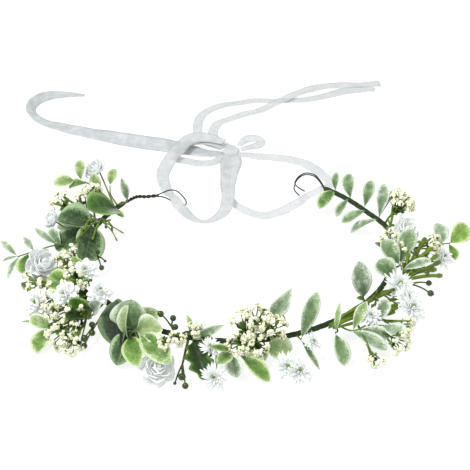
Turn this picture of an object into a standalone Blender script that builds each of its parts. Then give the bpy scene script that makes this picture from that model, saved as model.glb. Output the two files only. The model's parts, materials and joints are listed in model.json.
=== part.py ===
"""A flower crown, lying on a table: soft wire bent into an open ring and wound with floral tape,
dressed with fabric leaves, roses, rayed flowers, filler flowers and berries, and tied with ribbon.

Sizes are in millimetres and angles in degrees. Angle 0 is the front of the ring, and angles grow
towards +X. A place on the crown is (angle, out, up): out from the ring's radius and up from the
band. The meshes are written in metres, +Z up, with the table at height 0.
"""

import math

import bmesh
import bpy
from mathutils import Matrix, Vector
from mathutils.bvhtree import BVHTree

# Driving dimensions of the ring
RING_RADIUS = 95.0
BAND_HEIGHT = 12.0
WIRE_DIAMETER = 0.7
STRAND_GAP = 0.55
BORE_CLEARANCE = 0.475
TAPE_WALL = 0.45
TAPE_LAP = 0.25
TAPE_PITCH = 10.0
TAPE_LEFT_END = -127.0
TAPE_RIGHT_END = 142.0
LEFT_HINGE = -50.0
RIGHT_HINGE = 30.0
HINGE_GAP = 0.6

# Driving dimensions of the flowers, leaves and ribbon
SEAT_GAP = 0.3
STEM_DIAMETER = 1.2
TWIG_DIAMETER = 0.6
LEAF_THICKNESS = 0.8
FLORET_RADIUS = 2.0
RIBBON_WIDTH = 10.0
RIBBON_THICKNESS = 0.4

# Sizes that follow from them: the tape is wound round the two strands
STRAND_SPACING = WIRE_DIAMETER + STRAND_GAP
TAPE_BORE = STRAND_SPACING + WIRE_DIAMETER + 2 * BORE_CLEARANCE
TAPE_DIAMETER = TAPE_BORE + 2 * TAPE_WALL

MM = 0.001
UP = Vector((0.0, 0.0, 1.0))

# How far the hand-bent ring departs from a true circle: (angle, out)
RING_SHAPE = (
    (-180.0, -1.0),
    (-127.0, -1.0),
    (-95.0, 0.0),
    (-40.0, 0.0),
    (35.0, -1.5),
    (75.0, 1.0),
    (103.0, 5.0),
    (122.0, 1.0),
    (180.0, 1.0),
)


for old in list(bpy.data.objects):
    bpy.data.objects.remove(old, do_unlink=True)


# Points and curves

def polar(angle, radius, height):
    turn = math.radians(angle)
    return Vector((radius * math.sin(turn), -radius * math.cos(turn), height))


def place(angle, out, up):
    return polar(angle, RING_RADIUS + out, BAND_HEIGHT + up)


def facing(azimuth, elevation):
    """Unit vector that looks out at an azimuth, measured as the ring's angles, and an elevation."""
    lift = math.radians(elevation)
    return polar(azimuth, math.cos(lift), math.sin(lift))


def band_point(angle):
    for (start, before), (end, after) in zip(RING_SHAPE, RING_SHAPE[1:]):
        if start <= angle <= end:
            share = (angle - start) / (end - start)
            share = share * share * (3.0 - 2.0 * share)
            return place(angle, before + (after - before) * share, 0.0)
    raise ValueError("angle is outside the ring")


def smooth_path(knots, steps):
    """Points of a smooth curve through the knots, with a number of steps in each span."""
    knots = [Vector(knot) for knot in knots]
    ends = [2 * knots[0] - knots[1]] + knots + [2 * knots[-1] - knots[-2]]
    points = []
    for a, b, c, d in zip(ends, ends[1:], ends[2:], ends[3:]):
        for step in range(steps):
            t = step / steps
            points.append(
                0.5 * (2 * b + (c - a) * t + (2 * a - 5 * b + 4 * c - d) * t * t
                       + (3 * b - a - 3 * c + d) * t * t * t)
            )
    return points + [knots[-1]]


def along(points, share):
    """Point at a share of the way along a row of points."""
    place_in_row = share * (len(points) - 1)
    index = min(int(place_in_row), len(points) - 2)
    return points[index].lerp(points[index + 1], place_in_row - index)


def tangents(points):
    result = []
    for index in range(len(points)):
        before = points[max(index - 1, 0)]
        after = points[min(index + 1, len(points) - 1)]
        result.append((after - before).normalized())
    return result


# Closed shells

def loft(rings, start=None, end=None):
    """Closed shell through rings of points, closed at each end by a pole or by a flat cap."""
    shell = bmesh.new()
    rows = [[shell.verts.new(point) for point in ring] for ring in rings]
    for row, following in zip(rows, rows[1:]):
        for index in range(len(row)):
            other = (index + 1) % len(row)
            shell.faces.new((row[index], row[other], following[other], following[index]))
    for row, pole in ((rows[0], start), (rows[-1], end)):
        if pole is None:
            shell.faces.new(row)
        else:
            top = shell.verts.new(pole)
            for index in range(len(row)):
                shell.faces.new((row[index], row[(index + 1) % len(row)], top))
    bmesh.ops.recalc_face_normals(shell, faces=shell.faces)
    return shell


def tube(points, radii, sides):
    """Round bar along points, without twist, with a radius for each point."""
    rings = []
    heading = tangents(points)
    across = heading[0].orthogonal().normalized()
    for point, ahead, radius in zip(points, heading, radii):
        across = (across - ahead * across.dot(ahead)).normalized()
        upright = ahead.cross(across)
        ring = []
        for index in range(sides):
            turn = 2 * math.pi * index / sides
            ring.append(point + radius * (across * math.cos(turn) + upright * math.sin(turn)))
        rings.append(ring)
    return loft(rings)


STEM_SIDES = 3
STEM_THINNING = 1 / 3


def stem(points):
    """Wired stem that thins towards its far end."""
    last = len(points) - 1
    thinning = [1 - STEM_THINNING * index / last for index in range(last + 1)]
    return tube(points, [STEM_DIAMETER / 2 * share for share in thinning], STEM_SIDES)


# A leaf's rings along its length, its root inside the stem, and shares of its length and half width
LEAF_STATIONS = (0.12, 0.45, 0.80)
LEAF_ROOT = 1.1
LEAF_BOW = 0.07
LEAF_CUP = 0.22
LEAF_WIDEST = 0.9
LEAF_FULLNESS = 0.8


def leaf(base, tip, width, face):
    """Thin blade, rooted in its stem, arched along its midrib and cupped across it, facing one way."""
    ahead = (tip - base).normalized()
    base = base - ahead * LEAF_ROOT
    length = (tip - base).length
    normal = (face - ahead * face.dot(ahead)).normalized()
    side = ahead.cross(normal)
    rings = []
    for share in LEAF_STATIONS:
        half = width / 2 * math.sin(math.pi * share ** LEAF_WIDEST) ** LEAF_FULLNESS
        middle = base + ahead * length * share + normal * length * LEAF_BOW * math.sin(math.pi * share)
        edge = normal * half * LEAF_CUP
        rings.append([
            middle + side * half + edge,
            middle + normal * LEAF_THICKNESS / 2,
            middle - side * half + edge,
            middle - normal * LEAF_THICKNESS / 2,
        ])
    return loft(rings, base, tip)


HEAD_FOOT = 0.05


def head(centre, axis, radius, profile, lobes, steps, crown):
    """Flower head lofted through whorls: each row is radius, height, depth and phase of its lobes.

    All are shares of the head's radius, and crown is the height of its middle.
    """
    across = axis.orthogonal().normalized()
    upright = axis.cross(across)
    count = lobes * steps
    rings = []
    for reach, height, wave, phase in profile:
        ring = []
        for index in range(count):
            turn = 2 * math.pi * index / count
            swell = wave * math.cos(2 * math.pi * (index / steps - phase))
            spoke = across * math.cos(turn) + upright * math.sin(turn)
            ring.append(centre + radius * (spoke * (reach + swell) + axis * (height + swell / 2)))
        rings.append(ring)
    foot = profile[0][1] - HEAD_FOOT
    return loft(rings, centre + axis * radius * foot, centre + axis * radius * crown)


# A rose in three whorls of five petals that step round, on a cup-shaped calyx
ROSE_WHORLS = (
    (0.14, -0.60, 0.0, 0.0),
    (0.72, -0.26, 0.02, 0.0),
    (1.00, 0.18, 0.08, 0.0),
    (0.66, -0.02, 0.0, 0.0),
    (0.72, 0.38, 0.06, 0.5),
    (0.40, 0.14, 0.0, 0.0),
    (0.42, 0.54, 0.04, 0.0),
    (0.20, 0.36, 0.0, 0.0),
)
ROSE_PETALS = 5
ROSE_PETAL_STEPS = 3
ROSE_CROWN = 0.62

# A rayed flower: three stars of narrow petals above each other
RAY_WHORLS = (
    (0.14, -0.55, 0.0, 0.0),
    (0.72, 0.02, 0.28, 0.0),
    (0.36, 0.08, 0.0, 0.0),
    (0.56, 0.38, 0.20, 0.5),
    (0.22, 0.28, 0.0, 0.0),
)
RAY_PETALS = 6
RAY_PETAL_STEPS = 2
RAY_CROWN = 0.62

# A berry is a small round body
BERRY_WHORLS = ((0.80, -0.65, 0.0, 0.0), (0.90, 0.45, 0.0, 0.0))
BERRY_SIDES = 5
BERRY_CROWN = 1.05


def rose(centre, axis, radius):
    return head(centre, axis, radius, ROSE_WHORLS, ROSE_PETALS, ROSE_PETAL_STEPS, ROSE_CROWN)


def rays(centre, axis, radius):
    return head(centre, axis, radius, RAY_WHORLS, RAY_PETALS, RAY_PETAL_STEPS, RAY_CROWN)


def berry(centre, axis, radius):
    return head(centre, axis, radius, BERRY_WHORLS, BERRY_SIDES, 1, BERRY_CROWN)


def strip(points, widths, leans):
    """Flat ribbon along points: lean 0 lies flat and lean 90 stands on its edge."""
    rings = []
    for point, ahead, width, lean in zip(points, tangents(points), widths, leans):
        level = ahead.cross(UP).normalized()
        normal = level.cross(ahead)
        turn = math.radians(lean)
        across = (level * math.cos(turn) + normal * math.sin(turn)) * width / 2
        thick = (normal * math.cos(turn) - level * math.sin(turn)) * RIBBON_THICKNESS / 2
        rings.append([point + across + thick, point - across + thick,
                      point - across - thick, point + across - thick])
    return loft(rings)


# Objects

def finish(name, colour, roughness):
    material = bpy.data.materials.new(name)
    material.use_nodes = True
    shader = material.node_tree.nodes["Principled BSDF"]
    shader.inputs["Base Color"].default_value = (*colour, 1.0)
    shader.inputs["Roughness"].default_value = roughness
    shader.inputs["Metallic"].default_value = 0.0
    return material


FINISHES = {
    "wire": finish("green_wire", (0.03, 0.06, 0.03), 0.45),
    "tape": finish("floral_tape", (0.05, 0.10, 0.04), 0.75),
    "pale_leaf": finish("pale_leaf_cloth", (0.36, 0.50, 0.26), 0.7),
    "silver_leaf": finish("silver_leaf_cloth", (0.30, 0.40, 0.30), 0.75),
    "dark_leaf": finish("dark_leaf_cloth", (0.08, 0.15, 0.08), 0.5),
    "petal": finish("white_petal_cloth", (0.85, 0.88, 0.90), 0.8),
    "filler": finish("cream_filler", (0.80, 0.80, 0.55), 0.8),
    "berry": finish("berry_green", (0.10, 0.17, 0.05), 0.45),
    "ribbon": finish("organza_ribbon", (0.86, 0.87, 0.88), 0.6),
}


def carrier(name, location):
    empty = bpy.data.objects.new(name, None)
    empty.location = location * MM
    bpy.context.scene.collection.objects.link(empty)
    return empty


CARRIERS = {
    "front": carrier("crown_front", Vector((0.0, 0.0, 0.0))),
    "left": carrier("left_arm_hinge", band_point(LEFT_HINGE)),
    "right": carrier("right_arm_hinge", band_point(RIGHT_HINGE)),
}


def arm_of(angle):
    """The carrier of what is bound to the band at an angle."""
    if angle < LEFT_HINGE:
        return "left"
    if angle > RIGHT_HINGE:
        return "right"
    return "front"


def link_shell(name, shell, collection):
    bmesh.ops.scale(shell, vec=(MM, MM, MM), verts=shell.verts)
    mesh = bpy.data.meshes.new(name)
    shell.to_mesh(mesh)
    shell.free()
    item = bpy.data.objects.new(name, mesh)
    collection.objects.link(item)
    return item


def combine(item, shells, operation):
    """Join shells to an object, or cut them out of it, and keep the result as its mesh."""
    helpers = bpy.data.collections.new("helpers")
    bpy.context.scene.collection.children.link(helpers)
    for shell in shells:
        link_shell("helper", shell, helpers)
    step = item.modifiers.new("combine", "BOOLEAN")
    step.operation = operation
    step.operand_type = "COLLECTION"
    step.collection = helpers
    step.solver = "EXACT"
    evaluated = item.evaluated_get(bpy.context.evaluated_depsgraph_get())
    result = bpy.data.meshes.new_from_object(evaluated)
    item.modifiers.remove(step)
    item.data = result
    for helper in list(helpers.objects):
        bpy.data.objects.remove(helper, do_unlink=True)
    bpy.data.collections.remove(helpers)


SMOOTH_ANGLE = 40.0


def piece(name, carried_by, look, shells, cutters=()):
    """One sub-part: shells joined into a single closed body, cut where it must be, and finished."""
    item = link_shell(name, shells[0], bpy.context.scene.collection)
    if len(shells) > 1:
        combine(item, shells[1:], "UNION")
    if cutters:
        combine(item, cutters, "DIFFERENCE")
    item.data.name = name
    item.data.shade_smooth()
    item.data.set_sharp_from_angle(angle=math.radians(SMOOTH_ANGLE))
    item.data.materials.clear()
    item.data.materials.append(FINISHES[look])
    parent = CARRIERS[carried_by]
    item.parent = parent
    item.matrix_parent_inverse = Matrix.Translation(-parent.location)
    return item


# The base wire: one soft wire folded double, with an eye at its fold and a hook at its two ends.
# The eye, its twisted tail and the hook are given as (x, y) from the end of the band that they leave.

WIRE_STEP = 15.0
WIRE_SIDES = 4
TWIST_TURNS = 2.5
TWIST_STEPS = 16
TAIL_STEPS = 6
EYE_STEPS = 2
LEFT_TAIL = ((5.1, 5.9), (9.1, 8.9), (15.1, 8.9), (22.6, 10.4))
EYE = (
    (26.1, 14.4), (30.1, 17.4), (34.6, 16.4), (38.6, 10.4), (41.6, 2.4),
    (40.6, -2.1), (36.6, -0.6), (32.1, 3.4), (27.1, 7.9),
)
RIGHT_TAIL = ((-1.1, 2.9), (-3.1, 10.4), (-6.6, 17.9), (-12.6, 19.9), (-17.6, 14.4), (-20.1, 6.4))
LOWER_END = ((-20.6, -0.6), (-17.6, -7.6))
UPPER_END = ((-18.1, 0.9), (-14.1, -4.1))


def from_end(angle, offsets):
    return [band_point(angle) + Vector((x, y, 0.0)) for x, y in offsets]


def strand(lift, hook_end):
    """One of the two strands, from the left end of the tape round to its tip in the hook."""
    arc = TAPE_RIGHT_END - TAPE_LEFT_END
    count = round(math.radians(arc) * RING_RADIUS / WIRE_STEP)
    run = [band_point(TAPE_LEFT_END + arc * index / count) for index in range(count + 1)]
    hook = from_end(TAPE_RIGHT_END, RIGHT_TAIL + hook_end)
    run += smooth_path([run[-1]] + hook, EYE_STEPS)[1:]
    return [point + UP * lift for point in run]


def twisted(lift):
    """One strand's way along the twisted tail, from the band's left end to the eye."""
    axis = smooth_path(from_end(TAPE_LEFT_END, ((0.0, 0.0),) + LEFT_TAIL), TAIL_STEPS)
    heading = tangents(axis)
    points = []
    for index in range(1, TWIST_STEPS + 1):
        share = index / TWIST_STEPS
        side = UP.cross(along(heading, share)).normalized()
        turn = 2 * math.pi * TWIST_TURNS * share
        points.append(along(axis, share) + lift * (UP * math.cos(turn) + side * math.sin(turn)))
    return points


GAP_STEPS = 4
GAP_APART = 24


def least_gap(route):
    """Least clear distance between stretches of the wire that lie apart along it."""
    fine = smooth_path(route, GAP_STEPS)
    gap = math.inf
    for index, point in enumerate(fine):
        for other in fine[index + GAP_APART:]:
            gap = min(gap, (point - other).length)
    return gap - WIRE_DIAMETER


def base_wire():
    half = STRAND_SPACING / 2
    low = twisted(-half)
    high = twisted(half)
    eye = from_end(TAPE_LEFT_END, EYE)
    if (low[-1] - eye[0]).length > (high[-1] - eye[0]).length:
        eye.reverse()
    fold = smooth_path([low[-1]] + eye + [high[-1]], EYE_STEPS)[1:-1]
    lower = strand(-half, LOWER_END)
    upper = strand(half, UPPER_END)
    route = lower[::-1] + low + fold + high[::-1] + upper
    print("least gap of the wire to itself, mm:", round(least_gap(route), 2))
    return tube(route, [WIRE_DIAMETER / 2] * len(route), WIRE_SIDES)


piece("base_wire", "front", "wire", [base_wire()])


# The floral tape: wound over the doubled wire in laps, in three stretches that part at the hinges

TAPE_STEP = 7.5
TAPE_SIDES = 6
BORE_STEP = 11.0
BORE_SIDES = 6
HINGE_HALF = math.degrees(HINGE_GAP / 2 / RING_RADIUS)
TAPE_STRETCHES = (
    ("tape_left", "left", TAPE_LEFT_END, LEFT_HINGE - HINGE_HALF),
    ("tape_front", "front", LEFT_HINGE + HINGE_HALF, RIGHT_HINGE - HINGE_HALF),
    ("tape_right", "right", RIGHT_HINGE + HINGE_HALF, TAPE_RIGHT_END),
)


def arc_points(start, end, step):
    count = max(2, round(math.radians(end - start) * RING_RADIUS / step))
    return [band_point(start + (end - start) * index / count) for index in range(count + 1)]


def wound_tape(start, end):
    points = arc_points(start, end, TAPE_STEP)
    rings = []
    run = 0.0
    for index, (point, ahead) in enumerate(zip(points, tangents(points))):
        side = UP.cross(ahead).normalized()
        if index:
            run += (point - points[index - 1]).length
        ring = []
        for corner in range(TAPE_SIDES):
            share = corner / TAPE_SIDES
            turn = 2 * math.pi * share
            radius = TAPE_DIAMETER / 2 + TAPE_LAP * ((run / TAPE_PITCH + share) % 1.0)
            ring.append(point + radius * (side * math.cos(turn) + UP * math.sin(turn)))
        rings.append(ring)
    return loft(rings)


def tape_bore(start, end):
    past = math.degrees(WIRE_STEP / 2 / RING_RADIUS)
    points = arc_points(start - past, end + past, BORE_STEP)
    return tube(points, [TAPE_BORE / 2] * len(points), BORE_SIDES)


TAPE_SKINS = []

for tape_name, carried_by, tape_start, tape_end in TAPE_STRETCHES:
    winding = wound_tape(tape_start, tape_end)
    TAPE_SKINS.append(BVHTree.FromBMesh(winding))
    piece(tape_name, carried_by, "tape", [winding], [tape_bore(tape_start, tape_end)])


def seat(bound_at, towards):
    """Where a stem's end is bound to the tape: an angle and a side, 0 outer, 90 top and 180 inner.

    The end keeps its gap to the tape's skin whichever way the stem leaves it.
    """
    angle, side = bound_at
    lift = math.radians(side)
    outwards = polar(angle, math.cos(lift), 0.0) + UP * math.sin(lift)
    outside = band_point(angle) + outwards * TAPE_DIAMETER
    hits = [skin.ray_cast(outside, -outwards, TAPE_DIAMETER)[0] for skin in TAPE_SKINS]
    bound = next(hit for hit in hits if hit is not None)
    lean = outwards.cross(towards - bound).length / (towards - bound).length
    return bound + outwards * (SEAT_GAP + STEM_DIAMETER / 2 * lean)


# Leaf sprigs: name, finish, seat (angle, side) and shoots.
# A shoot is its route from the seat and its leaves: (share along it, tip, width, face).

LEAF_SPRIGS = (
    ("leaf_sprig_left_end", "silver_leaf", (-124, 60), (
        (((-123.5, 4, 8), (-124, 5, 14)), (
            (1.0, (-127.5, 5, 24), 6.5, (-10, 40)),
        )),
        (((-126.5, -6, 4),), (
            (1.0, (-126.5, -1.5, 20), 5.5, (20, 30)),
        )),
    )),
    ("leaf_sprig_left_back", "pale_leaf", (-118, 35), (
        (((-118.5, 8, 14), (-120, 19, 16), (-120.5, 29, 14)), (
            (0.3, (-119.5, 11.5, 24), 6, (-10, 45)),
            (0.8, (-124, 29.5, 26), 7.5, (-10, 40)),
            (0.6, (-119.5, 32.5, 10), 7, (-30, 60)),
            (1.0, (-116, 38.5, 14), 9.5, (-30, 55)),
        )),
    )),
    ("glossy_leaf_left", "dark_leaf", (-119, 150), (
        (((-118.5, -7, 5),), (
            (0.95, (-112, 6.5, 10), 17, (-20, 60)),
            (0.6, (-117.5, -12.5, 1), 4, (0, 70)),
        )),
    )),
    ("round_leaves_left", "dark_leaf", (-98, 100), (
        (((-97, -3, 9), (-95, -4, 14)), (
            (0.7, (-99.5, 18.5, 17), 18, (-30, 55)),
            (1.0, (-78.5, -2, 4), 15, (40, 35)),
        )),
    )),
    ("leaf_sprig_left_low", "silver_leaf", (-102, -20), (
        (((-101.5, 6, -1),), (
            (1.0, (-107.5, 26.5, -2), 9, (-60, 60)),
            (1.0, (-94.5, 19, -3), 10, (-40, 60)),
            (0.9, (-103, 9, -11.9), 6, (-90, 30)),
        )),
    )),
    ("narrow_sprig_left", "silver_leaf", (-91, 0), (
        (((-91, 16, 3), (-88.5, 30, 2), (-86.5, 41, 1)), (
            (0.35, (-93, 32, 13), 4.5, (-40, 60)),
            (0.3, (-95, 23.5, 10), 7.5, (-30, 50)),
            (0.7, (-91.5, 38.5, 8), 4.5, (-40, 60)),
            (1.0, (-90.5, 52.5, 7), 4.5, (-40, 60)),
            (1.0, (-86.5, 51.5, -2), 3, (-40, 60)),
            (0.95, (-81, 47.5, -6), 4.5, (-40, 60)),
            (0.8, (-81, 38.5, -3), 9, (-40, 60)),
        )),
    )),
    ("green_leaves_left", "pale_leaf", (-64, 70), (
        (((-63, 6, 9), (-62.5, 16.5, 8)), (
            (1.0, (-70, 24, 9), 12, (-20, 50)),
        )),
    )),
    ("mixed_leaves_left", "dark_leaf", (-55, -50), (
        (((-54.5, 9, -5), (-53.5, 14, -6)), (
            (0.7, (-62, 17, -3), 7, (-20, 60)),
            (1.0, (-57.5, 23.5, -4), 10, (-30, 60)),
            (0.5, (-51.5, 7.5, 6), 7, (-10, 40)),
        )),
    )),
    ("light_sprig_left", "pale_leaf", (-58, -60), (
        (((-58, 10, -6), (-57.5, 25, -7), (-56, 38, -6)), (
            (1.0, (-51.5, 52, -10), 10.5, (-30, 65)),
            (0.95, (-61, 44, -3), 7.5, (-30, 55)),
            (0.9, (-63, 48.5, -7), 2.4, (-30, 60)),
        )),
    )),
    ("eucalyptus_front_left", "pale_leaf", (-34, 15), (
        (((-34.5, 9, 2), (-35, 20.5, -3)), (
            (1.0, (-47, 7.5, 13), 18, (-50, 35)),
            (0.6, (-42.5, 8, 15), 20, (-20, 45)),
            (0.8, (-37.5, 9.5, 17), 9, (-50, 30)),
            (0.4, (-31, -1.5, 13), 11, (0, 45)),
            (0.6, (-28, 0, 6), 13, (0, 50)),
            (1.0, (-33.5, 29, -9), 13, (-20, 60)),
            (0.75, (-28.5, 24.5, -8), 11, (-10, 60)),
            (0.45, (-20.5, 14, -6), 13, (-10, 60)),
        )),
    )),
    ("dark_leaves_front", "dark_leaf", (-15, 20), (
        (((-14.5, 5, 3), (-14, 8, 3)), (
            (1.0, (-9, 24.5, -7), 15, (0, 60)),
            (0.8, (-8, 29, -9), 4, (-10, 60)),
            (0.6, (-4.5, -6, 8), 5.5, (0, 50)),
            (0.4, (-18.5, -4.5, 13), 3.5, (0, 40)),
        )),
    )),
    ("grey_leaves_front", "silver_leaf", (-2, -20), (
        (((-2, 5, -1), (-2, 10, 0)), (
            (0.9, (0, 23, -7), 9, (0, 60)),
            (1.0, (-6, 19, -1), 5.5, (0, 60)),
            (0.8, (8.5, 26, -8), 8.5, (10, 60)),
        )),
    )),
    ("standing_leaf_front", "silver_leaf", (14, 120), (
        (((14, -5, 8), (12, -4.5, 13)), (
            (1.0, (20, -5, 30), 9, (0, 30)),
        )),
    )),
    ("round_leaf_front", "pale_leaf", (9, -10), (
        (((9, 6, 0),), (
            (1.0, (18.5, 6.5, -2), 13, (0, 50)),
            (0.9, (8.5, 11, -6), 3.5, (0, 60)),
        )),
    )),
    ("leaf_pair_front_right", "silver_leaf", (21, -10), (
        (((21, 6, 1),), (
            (1.0, (27.5, 2.5, 28), 8.5, (0, 30)),
            (1.0, (23, 24, -8), 3.5, (20, 60)),
        )),
    )),
    ("eucalyptus_right_front", "pale_leaf", (36, 0), (
        (((34, 8, 1), (32.5, 9, 1)), (
            (1.0, (30, 27.5, -7), 8, (20, 60)),
            (0.9, (37, 3, 16), 3.5, (0, 40)),
        )),
        (((38.5, 11, -1), (43.5, 14, 0), (47.5, 20, -1)), (
            (0.35, (47, 8, 11), 6.5, (20, 50)),
            (0.55, (45, 27, -3), 7, (20, 55)),
            (0.85, (52, 15.5, 10), 6.5, (20, 50)),
            (0.35, (42, 31.5, -5), 8, (30, 60)),
            (0.95, (47, 35.5, 0), 9, (30, 60)),
        )),
    )),
    ("silver_leaf_right", "silver_leaf", (53, 120), (
        (((52, -0.5, 4),), (
            (1.0, (50.5, -3.5, 30), 11, (0, 30)),
            (0.7, (48, -1, 8), 3, (0, 45)),
        )),
    )),
    ("leaf_whorl_right", "silver_leaf", (77, 20), (
        (((77, 7, 4),), (
            (1.0, (88, -9, 9), 8, (40, 50)),
            (1.0, (81, -5.5, 17), 10, (20, 45)),
            (1.0, (86.5, 12.5, 20), 10.5, (0, 40)),
            (1.0, (81, 27, 6), 5.5, (30, 60)),
        )),
        (((68.5, 8, 2),), (
            (1.0, (74, -5.5, 10), 12, (10, 45)),
        )),
    )),
    ("leaf_sprig_right", "pale_leaf", (90, 10), (
        (((90, 15, 6), (90, 30, 5), (91, 38, 4)), (
            (0.8, (95, 36, 13), 8.5, (30, 50)),
            (0.75, (86, 29, 12), 5, (30, 50)),
            (1.0, (96, 51.5, 9), 12, (30, 50)),
            (0.95, (87, 41, -2), 6, (30, 60)),
        )),
    )),
)


SHOOT_STEPS = 2


def shoot_shells(bound_at, route, leaves):
    stops = [place(*stop) for stop in route]
    points = smooth_path([seat(bound_at, stops[0])] + stops, SHOOT_STEPS)
    shells = [stem(points)]
    for share, tip, width, face in leaves:
        shells.append(leaf(along(points, share), place(*tip), width, facing(*face)))
    return shells


for sprig_name, look, bound_at, shoots in LEAF_SPRIGS:
    sprig_shells = []
    for route, leaves in shoots:
        sprig_shells += shoot_shells(bound_at, route, leaves)
    piece(sprig_name, arm_of(bound_at[0]), look, sprig_shells)


# The long sprig along the right end: its stem is bound on top of the tape, with leaves to both sides

END_SPRIG_BOUND = (111, 118, 125, 132, 138)
END_SPRIG_LEAVES = (
    (0.02, (119.5, 27.5, 11), 7, (180, 60)),
    (0.15, (120, 15.5, 17), 8, (-20, 50)),
    (0.45, (126, 12.5, 15), 7.5, (-20, 50)),
    (0.72, (136, 10, 13), 7.5, (-20, 50)),
    (0.98, (140.5, 9, 11), 4.5, (-20, 50)),
    (0.08, (118, -12, -12), 6.5, (-60, 60)),
    (0.36, (121.5, -15, -5), 8, (-40, 70)),
    (0.66, (127, -13.5, -5), 6, (-40, 70)),
    (1.0, (137.5, -14.5, -5), 9.5, (-40, 70)),
)
end_stops = [seat((angle, 90), band_point(angle - 90)) for angle in END_SPRIG_BOUND]
end_points = smooth_path(end_stops, SHOOT_STEPS)
end_shells = [stem(end_points)]
for share, tip, width, face in END_SPRIG_LEAVES:
    end_shells.append(leaf(along(end_points, share), place(*tip), width, facing(*face)))
piece("leaf_sprig_right_end", "right", "silver_leaf", end_shells)


# Flowers on wired stems: name, seat and heads. A head is its place, radius and (azimuth, elevation).

ROSES = (
    ("rose_left", (-80, 20), (((-76.5, 25.5, 10), 10, (-40, 45)),)),
    ("rose_front", (-23, -60), (((-20.5, 30.5, -5), 11.2, (-10, 40)),)),
    ("rose_right", (97, 70), (((94.5, 11, 13), 8.5, (40, 50)),)),
    ("blossom_left_back", (-122, 70), (((-125.5, 20, 21), 7.5, (-60, 55)),)),
    ("blossom_left", (-96, 10), (((-101, 25.5, 9), 6.5, (-60, 45)),)),
)
RAYED_FLOWERS = (
    ("daisy_left_inner", (-69, 90), (((-66.5, 4, 12), 7, (0, 60)),)),
    ("daisy_left_front", (-58, 130), (((-55, 3.5, 9), 7, (20, 55)),)),
    ("daisy_spray_left", (-60, 30), (((-59.5, 22.5, 8), 8, (-30, 50)),)),
    ("daisy_left_outer", (-65, -20), (((-64, 38.5, 2), 8.5, (-50, 45)),)),
    ("daisy_spray_front", (-7, 20), (((-7.5, 13.5, 6), 6.5, (0, 60)), ((-6, 29, -3), 7.5, (-10, 40)))),
    ("daisy_front_right", (15, -40), (((15.5, 26.5, -3.5), 9.5, (15, 50)),)),
    ("daisy_small_front", (26, 10), (((24, 11, 2), 5.5, (20, 50)),)),
    ("daisy_spray_right", (62, 0), (
        ((64.5, 13, 6), 8.5, (30, 55)), ((59, 25.5, 2), 8.5, (30, 50)), ((47, 11.5, 2), 5.5, (10, 70)),
    )),
    ("daisy_right", (84, -20), (((85.5, 33, 2), 7, (50, 50)),)),
)
CALYX_DROP = 0.55
STEM_RUN = 3.5
RESTING = ("rose_front", "daisy_front_right")


def flower_shells(bound_at, heads, shape):
    shells = []
    for spot, radius, look_to in heads:
        centre = place(*spot)
        axis = facing(*look_to)
        calyx = centre - axis * radius * CALYX_DROP
        below = calyx - axis * STEM_RUN
        points = smooth_path([seat(bound_at, below), below, calyx], SHOOT_STEPS)
        shells.append(stem(points))
        shells.append(shape(centre, axis, radius))
    return shells


def table_block():
    """The space below the table, which flattens the petals that rest on it."""
    corners = [polar(quarter, 2 * RING_RADIUS, 0.0) for quarter in (0, 90, 180, 270)]
    return loft([[corner - UP * depth for corner in corners] for depth in (BAND_HEIGHT, 0.0)])


for flowers, shape in ((ROSES, rose), (RAYED_FLOWERS, rays)):
    for flower_name, bound_at, heads in flowers:
        cutters = [table_block()] if flower_name in RESTING else []
        piece(flower_name, arm_of(bound_at[0]), "petal", flower_shells(bound_at, heads, shape), cutters)


# Filler sprigs: name, seat and clusters. A cluster is its middle, spread and number of florets,
# which sit on a dome at the ends of fine branches.

FILLER_SPRIGS = (
    ("filler_left_back", (-108, 20), (
        ((-110, 27, 10), 7, 3), ((-111.5, 15, 12), 5, 2), ((-114, 13, 18), 5, 2),
    )),
    ("filler_left_inner", (-73, 60), (((-74, 11, 13), 5, 3), ((-62, 13.5, 12), 6, 3))),
    ("filler_left_outer", (-71, -10), (((-75, 34.5, 0), 5.5, 3), ((-65, 29.5, 5), 6, 3))),
    ("filler_left_front", (-58, 5), (((-56, 29.5, 2), 7, 3), ((-49, 38.5, -2), 7, 4))),
    ("filler_front_left", (-20, 60), (((-23.5, 13, 3), 3, 2), ((-18.5, 8, 5), 4.5, 3))),
    ("filler_front", (4, 70), (((4, 2, 16), 9, 4), ((12.5, 5.5, 12), 7, 3), ((3.5, 10, 6), 8, 3))),
    ("filler_right_front", (45, -40), (((46, 36, -6), 5.5, 3), ((37, 35, -7), 4, 2))),
    ("filler_right_back", (108, 40), (((109, 17, 14), 9, 6),)),
    ("filler_right", (86, 60), (((84.5, 0, 13), 5, 3), ((86, 26, 11), 6, 4))),
)
GOLDEN_TURN = math.pi * (3.0 - math.sqrt(5.0))
DOME_SHARE = 0.75
DOME_HEIGHT = 0.6
FORK_DEPTH = 0.8
FORK_TIP = 1.0
FORK_SIDES = 4
BRANCHING = 0.5
TWIG_THINNING = 1 / 3
FLORET_THROAT = 0.8
FLORET_PETALS = 5


def floret(root, bloom):
    """A fine branch that opens into a five-cornered flower."""
    points = [root, root.lerp(bloom, FLORET_THROAT), bloom]
    throat = TWIG_DIAMETER / 2
    return tube(points, [throat * (1 - TWIG_THINNING), throat, FLORET_RADIUS], FLORET_PETALS)


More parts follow.
